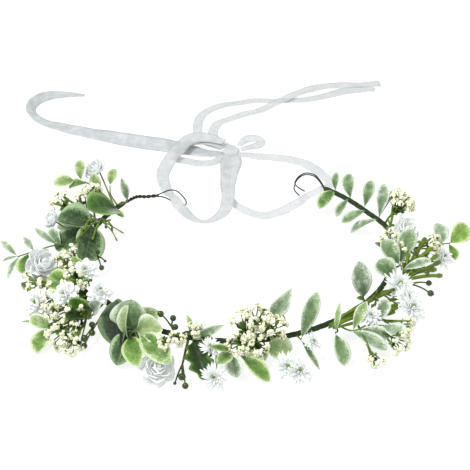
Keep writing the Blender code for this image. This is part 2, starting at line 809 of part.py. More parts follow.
def filler_shells(bound_at, clusters):
    shells = []
    for middle, spread, count in clusters:
        centre = place(*middle)
        start = seat(bound_at, centre)
        axis = (centre - start).normalized()
        across = axis.orthogonal().normalized()
        upright = axis.cross(across)
        fork = centre - axis * spread * FORK_DEPTH
        shells.append(tube([start, fork + axis * FORK_TIP], [STEM_DIAMETER / 2] * 2, FORK_SIDES))
        for index in range(count):
            height = 1 - DOME_SHARE * 2 * (index + 0.5) / count
            reach = math.sqrt(1 - height * height)
            turn = GOLDEN_TURN * index
            spoke = across * math.cos(turn) + upright * math.sin(turn)
            bloom = centre + spread * (axis * height * DOME_HEIGHT + spoke * reach)
            root = start.lerp(fork, 1 - BRANCHING * index / count)
            shells.append(floret(root, bloom))
    return shells


for filler_name, bound_at, clusters in FILLER_SPRIGS:
    piece(filler_name, arm_of(bound_at[0]), "filler", filler_shells(bound_at, clusters))


# Berry twigs: name, seat, fork and berries (place, radius)

BERRY_TWIGS = (
    ("bud_twig_left", (-84, 160), (-81.5, -8, 4), (
        ((-76.5, -8, 12), 1.6), ((-76, -12, 5), 1.7), ((-94, -19.5, 3), 0.9),
    )),
    ("berry_twig_left", (-52.5, -40), (-48.5, 15, -4), (
        ((-47, 19, -1), 2.1), ((-46, 21, -4), 2.1), ((-46.5, 27, -5), 2.5), ((-45, 29.5, -8), 2.1),
    )),
    ("bud_twig_front_left", (-22, 95), (-23, 1, 6), (
        ((-26.5, 2.5, 14), 2.3), ((-22, 2, 13), 2.2), ((-21, 3, 8), 2.1),
    )),
    ("berry_twig_front", (-17, -40), (-16, 17, -6), (
        ((-14.5, 28, -6), 2.4), ((-13, 33, -8), 2.1), ((-15.5, 30.5, -9), 1.0),
    )),
    ("bud_twig_right", (70, -20), (70, 16, 1), (
        ((70, 27, 4), 2.0), ((68, 29.5, 0), 2.2),
    )),
)


def berry_shells(bound_at, fork, berries):
    middle = place(*fork)
    shells = [stem(smooth_path([seat(bound_at, middle), middle], SHOOT_STEPS))]
    for spot, radius in berries:
        centre = place(*spot)
        axis = (centre - middle).normalized()
        shells.append(tube([middle - axis * STEM_DIAMETER, centre], [TWIG_DIAMETER / 2] * 2, STEM_SIDES))
        shells.append(berry(centre, axis, radius))
    return shells


for twig_name, bound_at, fork, berries in BERRY_TWIGS:
    piece(twig_name, arm_of(bound_at[0]), "berry", berry_shells(bound_at, fork, berries))


# The ribbon: rows are x, y, z of the middle line, the share of the full width, and the lean

RIBBON_STEPS = 2
RIBBON_RUNS = (
    ("ribbon_eye_loop", (
        (-9, 149, 7.5, 0.6, 10), (-21, 154, 8.5, 0.8, 20), (-34, 151, 8.5, 0.9, 25),
        (-41, 138, 7.5, 0.9, 20), (-46, 128, 6.5, 0.9, 10), (-51, 110, 5, 0.9, 10),
        (-50, 96, 5, 0.8, 0), (-47, 82, 6.5, 0.7, 0), (-43.5, 69, 10.5, 0.6, 0),
        (-41, 59, 14.2, 0.6, 0), (-37.5, 52, 13, 0.8, 0), (-30, 47, 7.5, 1.0, 10), (-21, 47, 4, 1.0, 20),
        (-14, 51, 4, 1.0, 20), (-8, 62, 4, 0.9, 10), (-6, 76, 5, 0.9, 10),
        (-6, 92, 5.5, 0.9, 10), (-5, 110, 6, 1.0, 0), (-4, 124, 6, 1.1, 0), (-4, 134, 5.4, 0.8, 0),
    )),
    ("ribbon_neck_loop", (
        (2, 138.5, 3, 0.6, 0), (13, 139, 1.5, 0.8, 0), (26, 138.5, 0.8, 0.9, 0), (41, 134, 0.8, 0.9, 0),
        (52, 125, 1, 0.9, 0), (59, 110, 3, 0.8, 0), (63, 95, 7, 0.7, 0), (62, 84, 9.3, 0.6, 0),
        (55, 79, 9.3, 0.6, 0), (46, 76, 5, 0.7, 0), (36, 70, 1.5, 0.8, 0), (26, 63, 0.8, 0.8, 0),
        (16, 60, 0.8, 0.8, 0), (6, 66, 0.8, 0.7, 0), (-3, 77, 0.8, 0.6, 0), (-8, 92, 0.8, 0.6, 0),
        (-8, 109, 1, 0.7, 0), (-6, 124, 1.8, 0.8, 0), (-5, 134, 2.6, 0.7, 0),
    )),
    ("ribbon_bow_left", (
        (-8.6, 135.6, 4, 0.5, 0), (-16, 128, 3, 0.7, 0), (-25, 128, 2, 0.8, 0), (-34, 130, 2, 0.8, 0),
        (-43, 134, 2.5, 0.7, 0), (-45, 142, 3.5, 0.7, 0), (-38, 150, 4.5, 0.7, 0),
        (-27, 153, 5.2, 0.7, 0), (-18, 151, 5.4, 0.6, 0), (-9.6, 144.8, 5, 0.5, 0),
    )),
    ("ribbon_bow_right", (
        (2, 145, 6.6, 0.4, 0), (4, 149.5, 7.2, 0.5, -20), (8, 153.5, 7.5, 0.6, -30),
        (14, 154, 7.5, 0.6, -20), (17.5, 150, 7, 0.6, 0), (15, 146, 6.5, 0.6, 20), (9, 144, 6, 0.5, 10),
        (3, 142.3, 5, 0.4, 0),
    )),
    ("ribbon_tail_left", (
        (-9.9, 139.6, 2.4, 0.7, 0), (-22, 143.5, 1.2, 0.9, 0), (-34, 148.5, 1.2, 1.0, 8),
        (-47, 152, 2.2, 1.0, 20), (-77, 160, 3.0, 1.0, 30), (-106, 172, 2.0, 1.0, 18),
        (-130, 184, 1.0, 1.0, 5), (-146, 194, 1.2, 0.95, -10), (-154, 205, 3, 0.9, -30),
        (-154, 216, 4, 0.8, -45), (-147, 228, 3.5, 0.75, -45), (-133, 235, 2, 0.6, -25),
        (-117, 235, 0.7, 0.3, 0),
    )),
    ("ribbon_tail_right_a", (
        (-10, 148.5, 2.8, 0.5, 0), (-21, 156, 2, 0.6, 0), (-27, 166, 1, 0.6, 0), (-29, 183, 0.7, 0.7, 0),
        (-27, 200, 0.7, 0.7, 0), (-19, 213, 0.7, 0.7, 0), (-6, 221, 0.7, 0.7, 0), (12, 226, 0.7, 0.7, 0),
        (28, 227, 0.7, 0.7, 0), (45, 227, 0.7, 0.7, 0), (62, 232, 0.7, 0.7, 0), (82, 242, 0.7, 0.7, 0),
        (98, 247, 0.7, 0.6, 0), (107, 245, 0.7, 0.3, 0),
    )),
    ("ribbon_tail_right_b", (
        (-5, 149.5, 3.5, 0.5, 0), (-13, 158, 3, 0.6, 0), (-17, 168, 1.8, 0.7, 0), (-17, 181, 0.8, 0.7, 0),
        (-12, 192, 0.7, 0.7, 0), (2, 202, 0.7, 0.7, 0), (20, 212, 1.5, 0.7, 0), (35, 224, 3, 0.7, 0),
        (48, 237, 2.5, 0.7, 0), (61, 248, 1, 0.7, 0), (77, 253, 0.7, 0.7, 0), (94, 253.5, 0.7, 0.6, 0),
        (112, 256, 0.7, 0.3, 0),
    )),
)
for run_name, rows in RIBBON_RUNS:
    middle_line = smooth_path([row[:3] for row in rows], RIBBON_STEPS)
    shares = smooth_path([(share, lean, 0.0) for *_, share, lean in rows], RIBBON_STEPS)
    widths = [RIBBON_WIDTH * value.x for value in shares]
    piece(run_name, "front", "ribbon", [strip(middle_line, widths, [value.y for value in shares])])

# The knot: a turn of ribbon drawn tight round the crossing
KNOT_CENTRE = Vector((-4.0, 141.0, 4.0))
KNOT_SIZE = Vector((5.5, 7.0, 3.4))
KNOT_WHORLS = ((0.55, -0.9, 0.0, 0.0), (0.95, -0.55, 0.06, 0.0), (0.80, -0.1, 0.0, 0.0),
               (1.0, 0.4, 0.06, 0.5), (0.6, 0.9, 0.0, 0.0))
KNOT_FOLDS = 5
KNOT_FOLD_STEPS = 2
KNOT_CROWN = 1.0


def knot():
    lengthwise = Vector((0.0, 1.0, 0.0))
    shell = head(Vector(), lengthwise, 1.0, KNOT_WHORLS, KNOT_FOLDS, KNOT_FOLD_STEPS, KNOT_CROWN)
    bmesh.ops.scale(shell, vec=KNOT_SIZE, verts=shell.verts)
    bmesh.ops.translate(shell, vec=KNOT_CENTRE, verts=shell.verts)
    return shell


piece("ribbon_knot", "front", "ribbon", [knot()])
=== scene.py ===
"""Looks of a flower crown lying on a white table: wire, tape, organza ribbon, leaves and flowers.

Sizes are in millimetres and angles in degrees, as in the plan of the crown. Angle 0 is the front of
the ring, and angles grow towards +X. A place on the crown is (angle, out, up): out from the ring's
radius and up from the band. Meshes are written in metres.
"""

import json
import math
import random

import bpy
import numpy as np
from mathutils import Matrix, Vector


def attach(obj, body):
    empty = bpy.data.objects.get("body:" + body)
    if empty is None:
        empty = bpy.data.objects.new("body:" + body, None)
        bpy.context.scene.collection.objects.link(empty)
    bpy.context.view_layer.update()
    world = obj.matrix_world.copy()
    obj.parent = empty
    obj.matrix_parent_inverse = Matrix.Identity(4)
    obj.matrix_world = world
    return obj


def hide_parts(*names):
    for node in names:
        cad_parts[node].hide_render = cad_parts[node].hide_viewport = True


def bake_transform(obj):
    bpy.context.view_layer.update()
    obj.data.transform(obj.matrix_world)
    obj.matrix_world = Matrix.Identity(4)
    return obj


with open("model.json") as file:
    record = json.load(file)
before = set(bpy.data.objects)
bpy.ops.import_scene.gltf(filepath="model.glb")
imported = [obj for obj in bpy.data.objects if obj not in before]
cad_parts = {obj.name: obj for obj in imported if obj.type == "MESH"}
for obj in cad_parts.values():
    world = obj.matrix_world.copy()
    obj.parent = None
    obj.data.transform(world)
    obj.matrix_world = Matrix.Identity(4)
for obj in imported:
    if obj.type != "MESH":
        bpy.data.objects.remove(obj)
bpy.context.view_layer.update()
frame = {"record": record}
BODY_OF = {}
for body, nodes in frame["record"]["behaviour"]["bodies"].items():
    for node in nodes:
        BODY_OF[node] = body


# The base wire: one soft iron wire with a dark green coat, folded double. The fold is a closed eye on a
# twisted tail at the left end, and the two free ends make an open hook at the right end. The tape
# holds the run between them, so two pieces show, and each bends with its arm.

MM = 0.001
UP = Vector((0.0, 0.0, 1.0))
RING_RADIUS = 95.0
BAND_HEIGHT = 12.0
# How far the band strays out from the ring's radius, at angles round it
RING_SHAPE = (
    (-180.0, -1.0), (-127.0, -1.0), (-95.0, 0.0), (-40.0, 0.0), (35.0, -1.5),
    (75.0, 1.0), (103.0, 5.0), (122.0, 1.0), (180.0, 1.0),
)
TAPE_ENDS = (-127.0, 142.0)
WIRE_RADIUS = 0.42
WIRE_SIDES = 8
TAIL_RADIUS = 0.6
STRAND_HALF = 0.625
TWIST_TURNS = 4.5
TWIST_STEPS = 96
CURVE_STEPS = 8
HOOK_LEAD = 4.0
# Tails, eye and hook as x and y from the end of the band
LEFT_TAIL = ((0, 0), (5.1, 5.9), (9.1, 8.9), (15.1, 8.9), (22.6, 10.4))
EYE = (
    (26.1, 14.4), (30.1, 17.4), (34.6, 16.4), (38.6, 10.4), (41.6, 2.4),
    (40.6, -2.1), (36.6, -0.6), (32.1, 3.4), (27.1, 7.9),
)
RIGHT_TAIL = ((-1.1, 2.9), (-3.1, 10.4), (-6.6, 17.9), (-12.6, 19.9), (-17.6, 14.4), (-20.1, 6.4))
HOOK_ENDS = (((-20.6, -0.6), (-17.6, -7.6)), ((-18.1, 0.9), (-14.1, -4.1)))
PLAIN_SPECULAR = 0.3
PLAIN_TONE = 0.5


def polar(angle, radius, height):
    turn = math.radians(angle)
    return Vector((radius * math.sin(turn), -radius * math.cos(turn), height))


def place(angle, out, up):
    return polar(angle, RING_RADIUS + out, BAND_HEIGHT + up)


def band_point(angle):
    """Middle of the band at an angle."""
    for (start, before), (end, after) in zip(RING_SHAPE, RING_SHAPE[1:]):
        if start <= angle <= end:
            share = (angle - start) / (end - start)
            share = share * share * (3.0 - 2.0 * share)
            return place(angle, before + (after - before) * share, 0.0)
    raise ValueError("angle is outside the ring")


def smooth_path(knots, steps):
    """Points of a smooth curve through the knots, with a number of steps in each span."""
    knots = [Vector(knot) for knot in knots]
    ends = [2 * knots[0] - knots[1]] + knots + [2 * knots[-1] - knots[-2]]
    points = []
    for a, b, c, d in zip(ends, ends[1:], ends[2:], ends[3:]):
        for step in range(steps):
            t = step / steps
            points.append(
                0.5 * (2 * b + (c - a) * t + (2 * a - 5 * b + 4 * c - d) * t * t
                       + (3 * b - a - 3 * c + d) * t * t * t)
            )
    return points + [knots[-1]]


def along(points, share):
    """The point at a share of the way through a row of points."""
    place_in_row = share * (len(points) - 1)
    index = min(int(place_in_row), len(points) - 2)
    return points[index].lerp(points[index + 1], place_in_row - index)


def tangents(points):
    result = []
    for index in range(len(points)):
        before = points[max(index - 1, 0)]
        after = points[min(index + 1, len(points) - 1)]
        result.append((after - before).normalized())
    return result


def ink(red, green, blue):
    """Colour for a shader from the red, green and blue that a screen shows, 0 to 255."""
    parts = []
    for value in (red, green, blue):
        value /= 255
        parts.append(value / 12.92 if value <= 0.04045 else ((value + 0.055) / 1.055) ** 2.4)
    return (*parts, 1.0)


class Value:
    """One output of a node, with the arithmetic that expressions need."""

    def __init__(self, tree, socket):
        self.tree = tree
        self.socket = socket

    def __getitem__(self, key):
        """Another output of the same node, by its name or number."""
        return Value(self.tree, self.socket.node.outputs[key])

    def maths(self, operation, *others):
        inputs = dict(enumerate((self, *others)))
        return self.tree.node("ShaderNodeMath", {"operation": operation}, inputs)

    def __add__(self, other):
        return self.maths("ADD", other)

    def __sub__(self, other):
        return self.maths("SUBTRACT", other)

    def __mul__(self, other):
        return self.maths("MULTIPLY", other)

    def __truediv__(self, other):
        return self.maths("DIVIDE", other)

    __radd__ = __add__
    __rmul__ = __mul__

    def __rsub__(self, other):
        return (self * -1.0) + other

    def __abs__(self):
        return self.maths("ABSOLUTE")

    def step(self, low, high):
        """0 below low, 1 above high and smooth between them."""
        inputs = {"Value": self, "From Min": low, "From Max": high}
        return self.tree.node("ShaderNodeMapRange", {"interpolation_type": "SMOOTHSTEP"}, inputs)


class Tree:
    """A node tree written as expressions, for shaders and for geometry, with the node that it ends in."""

    def __init__(self, nodes, end):
        self.nodes = nodes
        self.end = end

    def node(self, kind, settings=None, inputs=None):
        """Any node: its type, its settings, and values or links for its sockets."""
        made = self.nodes.nodes.new(kind)
        for name, value in (settings or {}).items():
            setattr(made, name, value)
        for key, value in (inputs or {}).items():
            self.feed(made, key, value)
        return Value(self, made.outputs[0])

    def feed(self, node, key, value):
        if isinstance(value, Value):
            self.nodes.links.new(value.socket, node.inputs[key])
        else:
            node.inputs[key].default_value = value

    def uv(self):
        where = self.node("ShaderNodeTexCoord")["UV"]
        return self.node("ShaderNodeSeparateXYZ", None, {0: where})

    def tone(self):
        return self.node("ShaderNodeAttribute", {"attribute_name": "tone"})["Fac"]

    def noise(self, scale, detail=3.0, where=None):
        where = where or self.node("ShaderNodeTexCoord")["Object"]
        return self.node("ShaderNodeTexNoise", None, {"Vector": where, "Scale": scale, "Detail": detail})

    def mix(self, share, first, second):
        inputs = {0: share, 6: first, 7: second}
        return self.node("ShaderNodeMix", {"data_type": "RGBA"}, inputs)[2]

    def paint(self, share, first, second):
        """The base colour, from a first colour at share 0 to a second at 1."""
        self.feed(self.end, "Base Color", self.mix(share, first, second))

    def bump(self, height, strength, distance):
        inputs = {"Height": height, "Strength": strength, "Distance": distance}
        self.feed(self.end, "Normal", self.node("ShaderNodeBump", None, inputs))


def material(name, roughness, **constants):
    """A material and the tree of its shader, whose constant sockets are set at once."""
    made = bpy.data.materials.new(name)
    made.use_nodes = True
    shader = made.node_tree.nodes["Principled BSDF"]
    shader.inputs["Roughness"].default_value = roughness
    shader.inputs["Specular IOR Level"].default_value = PLAIN_SPECULAR
    for key, value in constants.items():
        shader.inputs[key.replace("_", " ").title()].default_value = value
    return made, Tree(made.node_tree, shader)


def set_out(name, data):
    """A new object in the scene, at the origin."""
    item = bpy.data.objects.new(name, data)
    bpy.context.scene.collection.objects.link(item)
    return item


class Bunch:
    """The shells of one piece as they are put together, with a finish, UVs and a tone for each."""

    def __init__(self):
        self.points = []
        self.faces = []
        self.uvs = []
        self.tones = []
        self.looks = []

    def add(self, points, faces, uvs, look, tone):
        """Points in millimetres, faces, a UV for each point, the finish, and one tone or many."""
        first = len(self.points)
        self.points += points
        self.tones += tone if isinstance(tone, list) else [tone] * len(points)
        for face in faces:
            self.faces.append([first + corner for corner in face])
            self.uvs += [uvs[corner] for corner in face]
            self.looks.append(look)

    def loft(self, rings, uv_rings, look, tone, poles=(None, None)):
        """Closed shell through rings of points, closed at each end by a pole or by the ring's middle."""
        count = len(rings[0])
        points = [point for ring in rings for point in ring]
        uvs = [uv for ring in uv_rings for uv in ring]
        faces = []
        for row in range(len(rings) - 1):
            for index in range(count):
                other = (index + 1) % count
                faces.append((row * count + index, row * count + other,
                              (row + 1) * count + other, (row + 1) * count + index))
        for row, pole in ((0, poles[0]), (len(rings) - 1, poles[1])):
            middle = sum(rings[row], Vector()) / count if pole is None else pole
            points.append(middle)
            uvs.append((0.5, uv_rings[row][0][1]))
            for index in range(count):
                pair = [row * count + index, row * count + (index + 1) % count]
                faces.append((*(pair[::-1] if row == 0 else pair), len(points) - 1))
        self.add(points, faces, uvs, look, tone)

    def tube(self, points, radii, sides, look, tone=PLAIN_TONE):
        """Round bar along points, with a radius at each."""
        heading = tangents(points)
        across = heading[0].orthogonal().normalized()
        rings = []
        uv_rings = []
        for row, (point, ahead, radius) in enumerate(zip(points, heading, radii)):
            across = (across - ahead * across.dot(ahead)).normalized()
            upright = ahead.cross(across)
            ring = []
            for index in range(sides):
                turn = math.tau * index / sides
                ring.append(point + radius * (across * math.cos(turn) + upright * math.sin(turn)))
            rings.append(ring)
            uv_rings.append([(index / sides, row / (len(points) - 1)) for index in range(sides)])
        self.loft(rings, uv_rings, look, tone)

    def turned(self, matrix, profile, sides, look, poles=(None, None)):
        """Round shell from rows of reach, height, share along and notch, which draws in every other point."""
        rings = []
        uv_rings = []
        for reach, height, share, notch in profile:
            ring = []
            for index in range(sides):
                turn = math.tau * index / sides
                out = reach * (1 - notch * (index % 2))
                ring.append(matrix @ Vector((out * math.cos(turn), out * math.sin(turn), height)))
            rings.append(ring)
            uv_rings.append([(index / sides, share) for index in range(sides)])
        self.loft(rings, uv_rings, look, PLAIN_TONE, poles)

    def copy(self, mesh, matrix, look):
        """A ready mesh, in its own unit, set in place by a matrix in millimetres."""
        uvs = [(0.5, 0.5)] * len(mesh.vertices)
        if mesh.uv_layers.active:
            for loop, spot in zip(mesh.loops, mesh.uv_layers.active.uv):
                uvs[loop.vertex_index] = tuple(spot.vector)
        tones = [mark.value for mark in mesh.attributes["tone"].data]
        points = [matrix @ vertex.co for vertex in mesh.vertices]
        self.add(points, [tuple(face.vertices) for face in mesh.polygons], uvs, look, tones)

    def build(self, name):
        mesh = bpy.data.meshes.new(name)
        mesh.from_pydata([point * MM for point in self.points], [], self.faces)
        looks = list(dict.fromkeys(self.looks))
        for look in looks:
            mesh.materials.append(look)
        mesh.polygons.foreach_set("material_index", [looks.index(look) for look in self.looks])
        mesh.polygons.foreach_set("use_smooth", [True] * len(self.faces))
        layer = mesh.uv_layers.new(name="UVMap")
        layer.uv.foreach_set("vector", np.array(self.uvs, np.float32).ravel())
        tones = mesh.attributes.new("tone", "FLOAT", "POINT")
        tones.data.foreach_set("value", np.array(self.tones, np.float32))
        mesh.update()
        return set_out(name, mesh)


def dress(bunch, node, name=None, body=None):
    """The finished piece stands for its solid and rides on that solid's body."""
    item = bunch.build(name or "seen_" + node)
    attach(item, body or BODY_OF[node])
    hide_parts(node)
    return item


def from_end(angle, offsets):
    return [band_point(angle) + Vector((x, y, 0.0)) for x, y in offsets]


def twisted(lift):
    """One strand's way along the twisted tail, from the band's left end to the eye."""
    axis = smooth_path(from_end(TAPE_ENDS[0], LEFT_TAIL), CURVE_STEPS)
    heading = tangents(axis)
    points = []
    for index in range(TWIST_STEPS + 1):
        share = index / TWIST_STEPS
        side = UP.cross(along(heading, share)).normalized()
        turn = math.tau * TWIST_TURNS * share
        points.append(along(axis, share) + lift * (UP * math.cos(turn) + side * math.sin(turn)))
    return points


WIRE, wire_tree = material("green_wire", roughness=0.5, coat_weight=0.05)
wire_wear = wire_tree.noise(900.0)
wire_tree.paint(wire_wear.step(0.35, 0.7), ink(10, 18, 8), ink(34, 46, 26))
wire_tree.bump(wire_wear, strength=0.2, distance=0.0002)

low, high = twisted(-STRAND_HALF), twisted(STRAND_HALF)
eye = from_end(TAPE_ENDS[0], EYE)
route = low + smooth_path([low[-1]] + eye + [high[-1]], CURVE_STEPS)[1:-1] + high[::-1]
tail_radii = [TAIL_RADIUS] * len(low)
eye_radii = [WIRE_RADIUS] * (len(route) - 2 * len(low))
left_wire = Bunch()
left_wire.tube(route, tail_radii + eye_radii + tail_radii, WIRE_SIDES, WIRE)
dress(left_wire, "base_wire", "seen_wire_eye", "left_arm")

right_wire = Bunch()
for lift, hook_end in zip((-STRAND_HALF, STRAND_HALF), HOOK_ENDS):
    lead = [band_point(TAPE_ENDS[1] - HOOK_LEAD), band_point(TAPE_ENDS[1])]
    hook = smooth_path(lead + from_end(TAPE_ENDS[1], RIGHT_TAIL + hook_end), CURVE_STEPS)
    right_wire.tube([point + UP * lift for point in hook], [WIRE_RADIUS] * len(hook), WIRE_SIDES, WIRE)
dress(right_wire, "base_wire", "seen_wire_hook", "right_arm")


# The floral tape: waxed crepe paper, dark green, wound in laps over the doubled wire and the ends of all
# stems. It is one winding; here it is two pieces that meet at the front.

TAPE_RADIUS = 1.5
TAPE_LAP = 0.25
TAPE_PITCH = 6.0
TAPE_STEP = 0.6
TAPE_SIDES = 20
TAPE_SPANS = 160
TAPE_MEETING = -10.0
HINGES = (-50.0, 30.0)
HINGE_REACH = 5.0


def geometry_tree(name, sockets):
    """A geometry tree and its inputs: a geometry, and the named sockets after it."""
    nodes = bpy.data.node_groups.new(name, "GeometryNodeTree")
    nodes.interface.new_socket("Geometry", in_out="OUTPUT", socket_type="NodeSocketGeometry")
    nodes.interface.new_socket("Geometry", in_out="INPUT", socket_type="NodeSocketGeometry")
    for label, kind in sockets.items():
        nodes.interface.new_socket(label, in_out="INPUT", socket_type="NodeSocket" + kind)
    tree = Tree(nodes, nodes.nodes.new("NodeGroupOutput"))
    return tree, tree.node("NodeGroupInput")


def stored(tree, geometry, name, value, settings=None):
    """Geometry that keeps a value under a name."""
    inputs = {"Geometry": geometry, "Name": name, "Value": value}
    return tree.node("GeometryNodeStoreNamedAttribute", settings, inputs)


def deliver(tree, geometry, finish):
    """The end of a geometry tree: real meshes in one finish."""
    real = tree.node("GeometryNodeRealizeInstances", None, {"Geometry": geometry})
    dressed = tree.node("GeometryNodeSetMaterial", None, {"Geometry": real, "Material": finish})
    tree.feed(tree.end, "Geometry", dressed)


def grow(tree, data, values):
    """The plain mesh that a geometry tree makes of a mesh or a curve."""
    seed = set_out("growing", data)
    step = seed.modifiers.new("growing", "NODES")
    step.node_group = tree.nodes
    for item in tree.nodes.interface.items_tree:
        if item.in_out == "INPUT" and item.name in values:
            step[item.identifier] = values[item.name]
    grown = seed.evaluated_get(bpy.context.evaluated_depsgraph_get())
    mesh = bpy.data.meshes.new_from_object(grown)
    seed.modifiers.remove(step)
    bpy.data.objects.remove(seed, do_unlink=True)
    return mesh


winding, given = geometry_tree("wound tape", {
    "Radius": "Float", "Lap": "Float", "Pitch": "Float", "Step": "Float", "Sides": "Int",
    "Finish": "Material",
})
line = winding.node("GeometryNodeResampleCurve", {"mode": "LENGTH"}, {
    "Curve": given["Geometry"], "Length": given["Step"],
})
line = stored(winding, line, "run", winding.node("GeometryNodeSplineParameter")["Length"])
circle = winding.node("GeometryNodeCurvePrimitiveCircle", None, {
    "Resolution": given["Sides"], "Radius": given["Radius"],
})
circle = stored(winding, circle, "share", winding.node("GeometryNodeSplineParameter")["Factor"])
bar = winding.node("GeometryNodeCurveToMesh", None, {
    "Curve": line, "Profile Curve": circle, "Fill Caps": True,
})
run = winding.node("GeometryNodeInputNamedAttribute", None, {"Name": "run"})
share = winding.node("GeometryNodeInputNamedAttribute", None, {"Name": "share"})
lap = (run / given["Pitch"] + share).maths("FRACT")
# The lap's phase is kept as the tone. The tape's finish darkens it just past each lap's edge as painted shade
bar = stored(winding, bar, "tone", lap)
lift = winding.node("ShaderNodeVectorMath", {"operation": "SCALE"}, {
    "Vector": winding.node("GeometryNodeInputNormal"), "Scale": lap * given["Lap"],
})
bar = winding.node("GeometryNodeSetPosition", None, {"Geometry": bar, "Offset": lift})
deliver(winding, bar, given["Finish"])

TAPE, tape_tree = material("floral_tape", roughness=0.62)
tape_crepe = tape_tree.noise(1400.0)
# Darker just past each lap's edge: painted shade in the groove under the lap before. The crepe noise is the
# paper's own mottle
lap_shade_and_crepe = tape_tree.tone().step(0.0, 0.35) * 0.6 + tape_crepe * 0.5
tape_tree.paint(lap_shade_and_crepe, ink(7, 15, 3), ink(36, 58, 18))
tape_tree.bump(tape_crepe, strength=0.5, distance=0.0003)


def tape_piece(name, end, hinge, nodes):
    """One half of the winding, from its meeting at the front to its end."""
    curve = bpy.data.curves.new(name, "CURVE")
    curve.dimensions = "3D"
    spline = curve.splines.new("POLY")
    spline.points.add(TAPE_SPANS)
    for index, knot in enumerate(spline.points):
        angle = TAPE_MEETING + (end - TAPE_MEETING) * index / TAPE_SPANS
        knot.co = (*(band_point(angle) * MM), 1.0)
    values = {
        "Radius": TAPE_RADIUS * MM, "Lap": TAPE_LAP * MM, "Pitch": TAPE_PITCH * MM,
        "Step": TAPE_STEP * MM, "Sides": TAPE_SIDES, "Finish": TAPE,
    }
    bunch = Bunch()
    bunch.copy(grow(winding, curve, values), Matrix.Scale(1 / MM, 4), TAPE)
    item = bunch.build(name)
    middle = band_point(hinge)
    reach = (band_point(hinge + math.copysign(1, hinge)) - middle).normalized() * HINGE_REACH
    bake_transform(item)
    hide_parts(*nodes)


tape_piece("seen_tape_left", TAPE_ENDS[0], HINGES[0], ("tape_left", "tape_front"))
tape_piece("seen_tape_right", TAPE_ENDS[1], HINGES[1], ("tape_right", "tape_front"))


# The ribbon: sheer white organza, 10 mm wide with a finer, denser edge. One length goes through the eye,
# one goes round the right neck of the band, and both are tied in a small bow with long tails.

RIBBON_WIDTH = 10.0
RIBBON_THICKNESS = 0.3
RIBBON_LANES = 7
RIBBON_CRINKLE = 0.2
RIBBON_WAVES = 3
WAVE_SIZES = (0.4, 1.0)
WAVE_LENGTHS = (2.0, 7.0)
WAVE_SLANTS = (-1.0, 1.0)
ANY_PHASE = (0.0, 6.0)
MIDDLE_CRINKLE = 0.4
THREADS_ACROSS = 340.0
THREADS_ALONG = 2400.0
STREAKS_ACROSS = 26.0
STREAKS_ALONG = 30.0
RIBBON_DENSITY = {
    "ribbon_neck_loop": 0.32, "ribbon_tail_left": 0.8, "ribbon_tail_right_a": 0.4, "ribbon_tail_right_b": 0.4,
}
PLAIN_DENSITY = 0.5
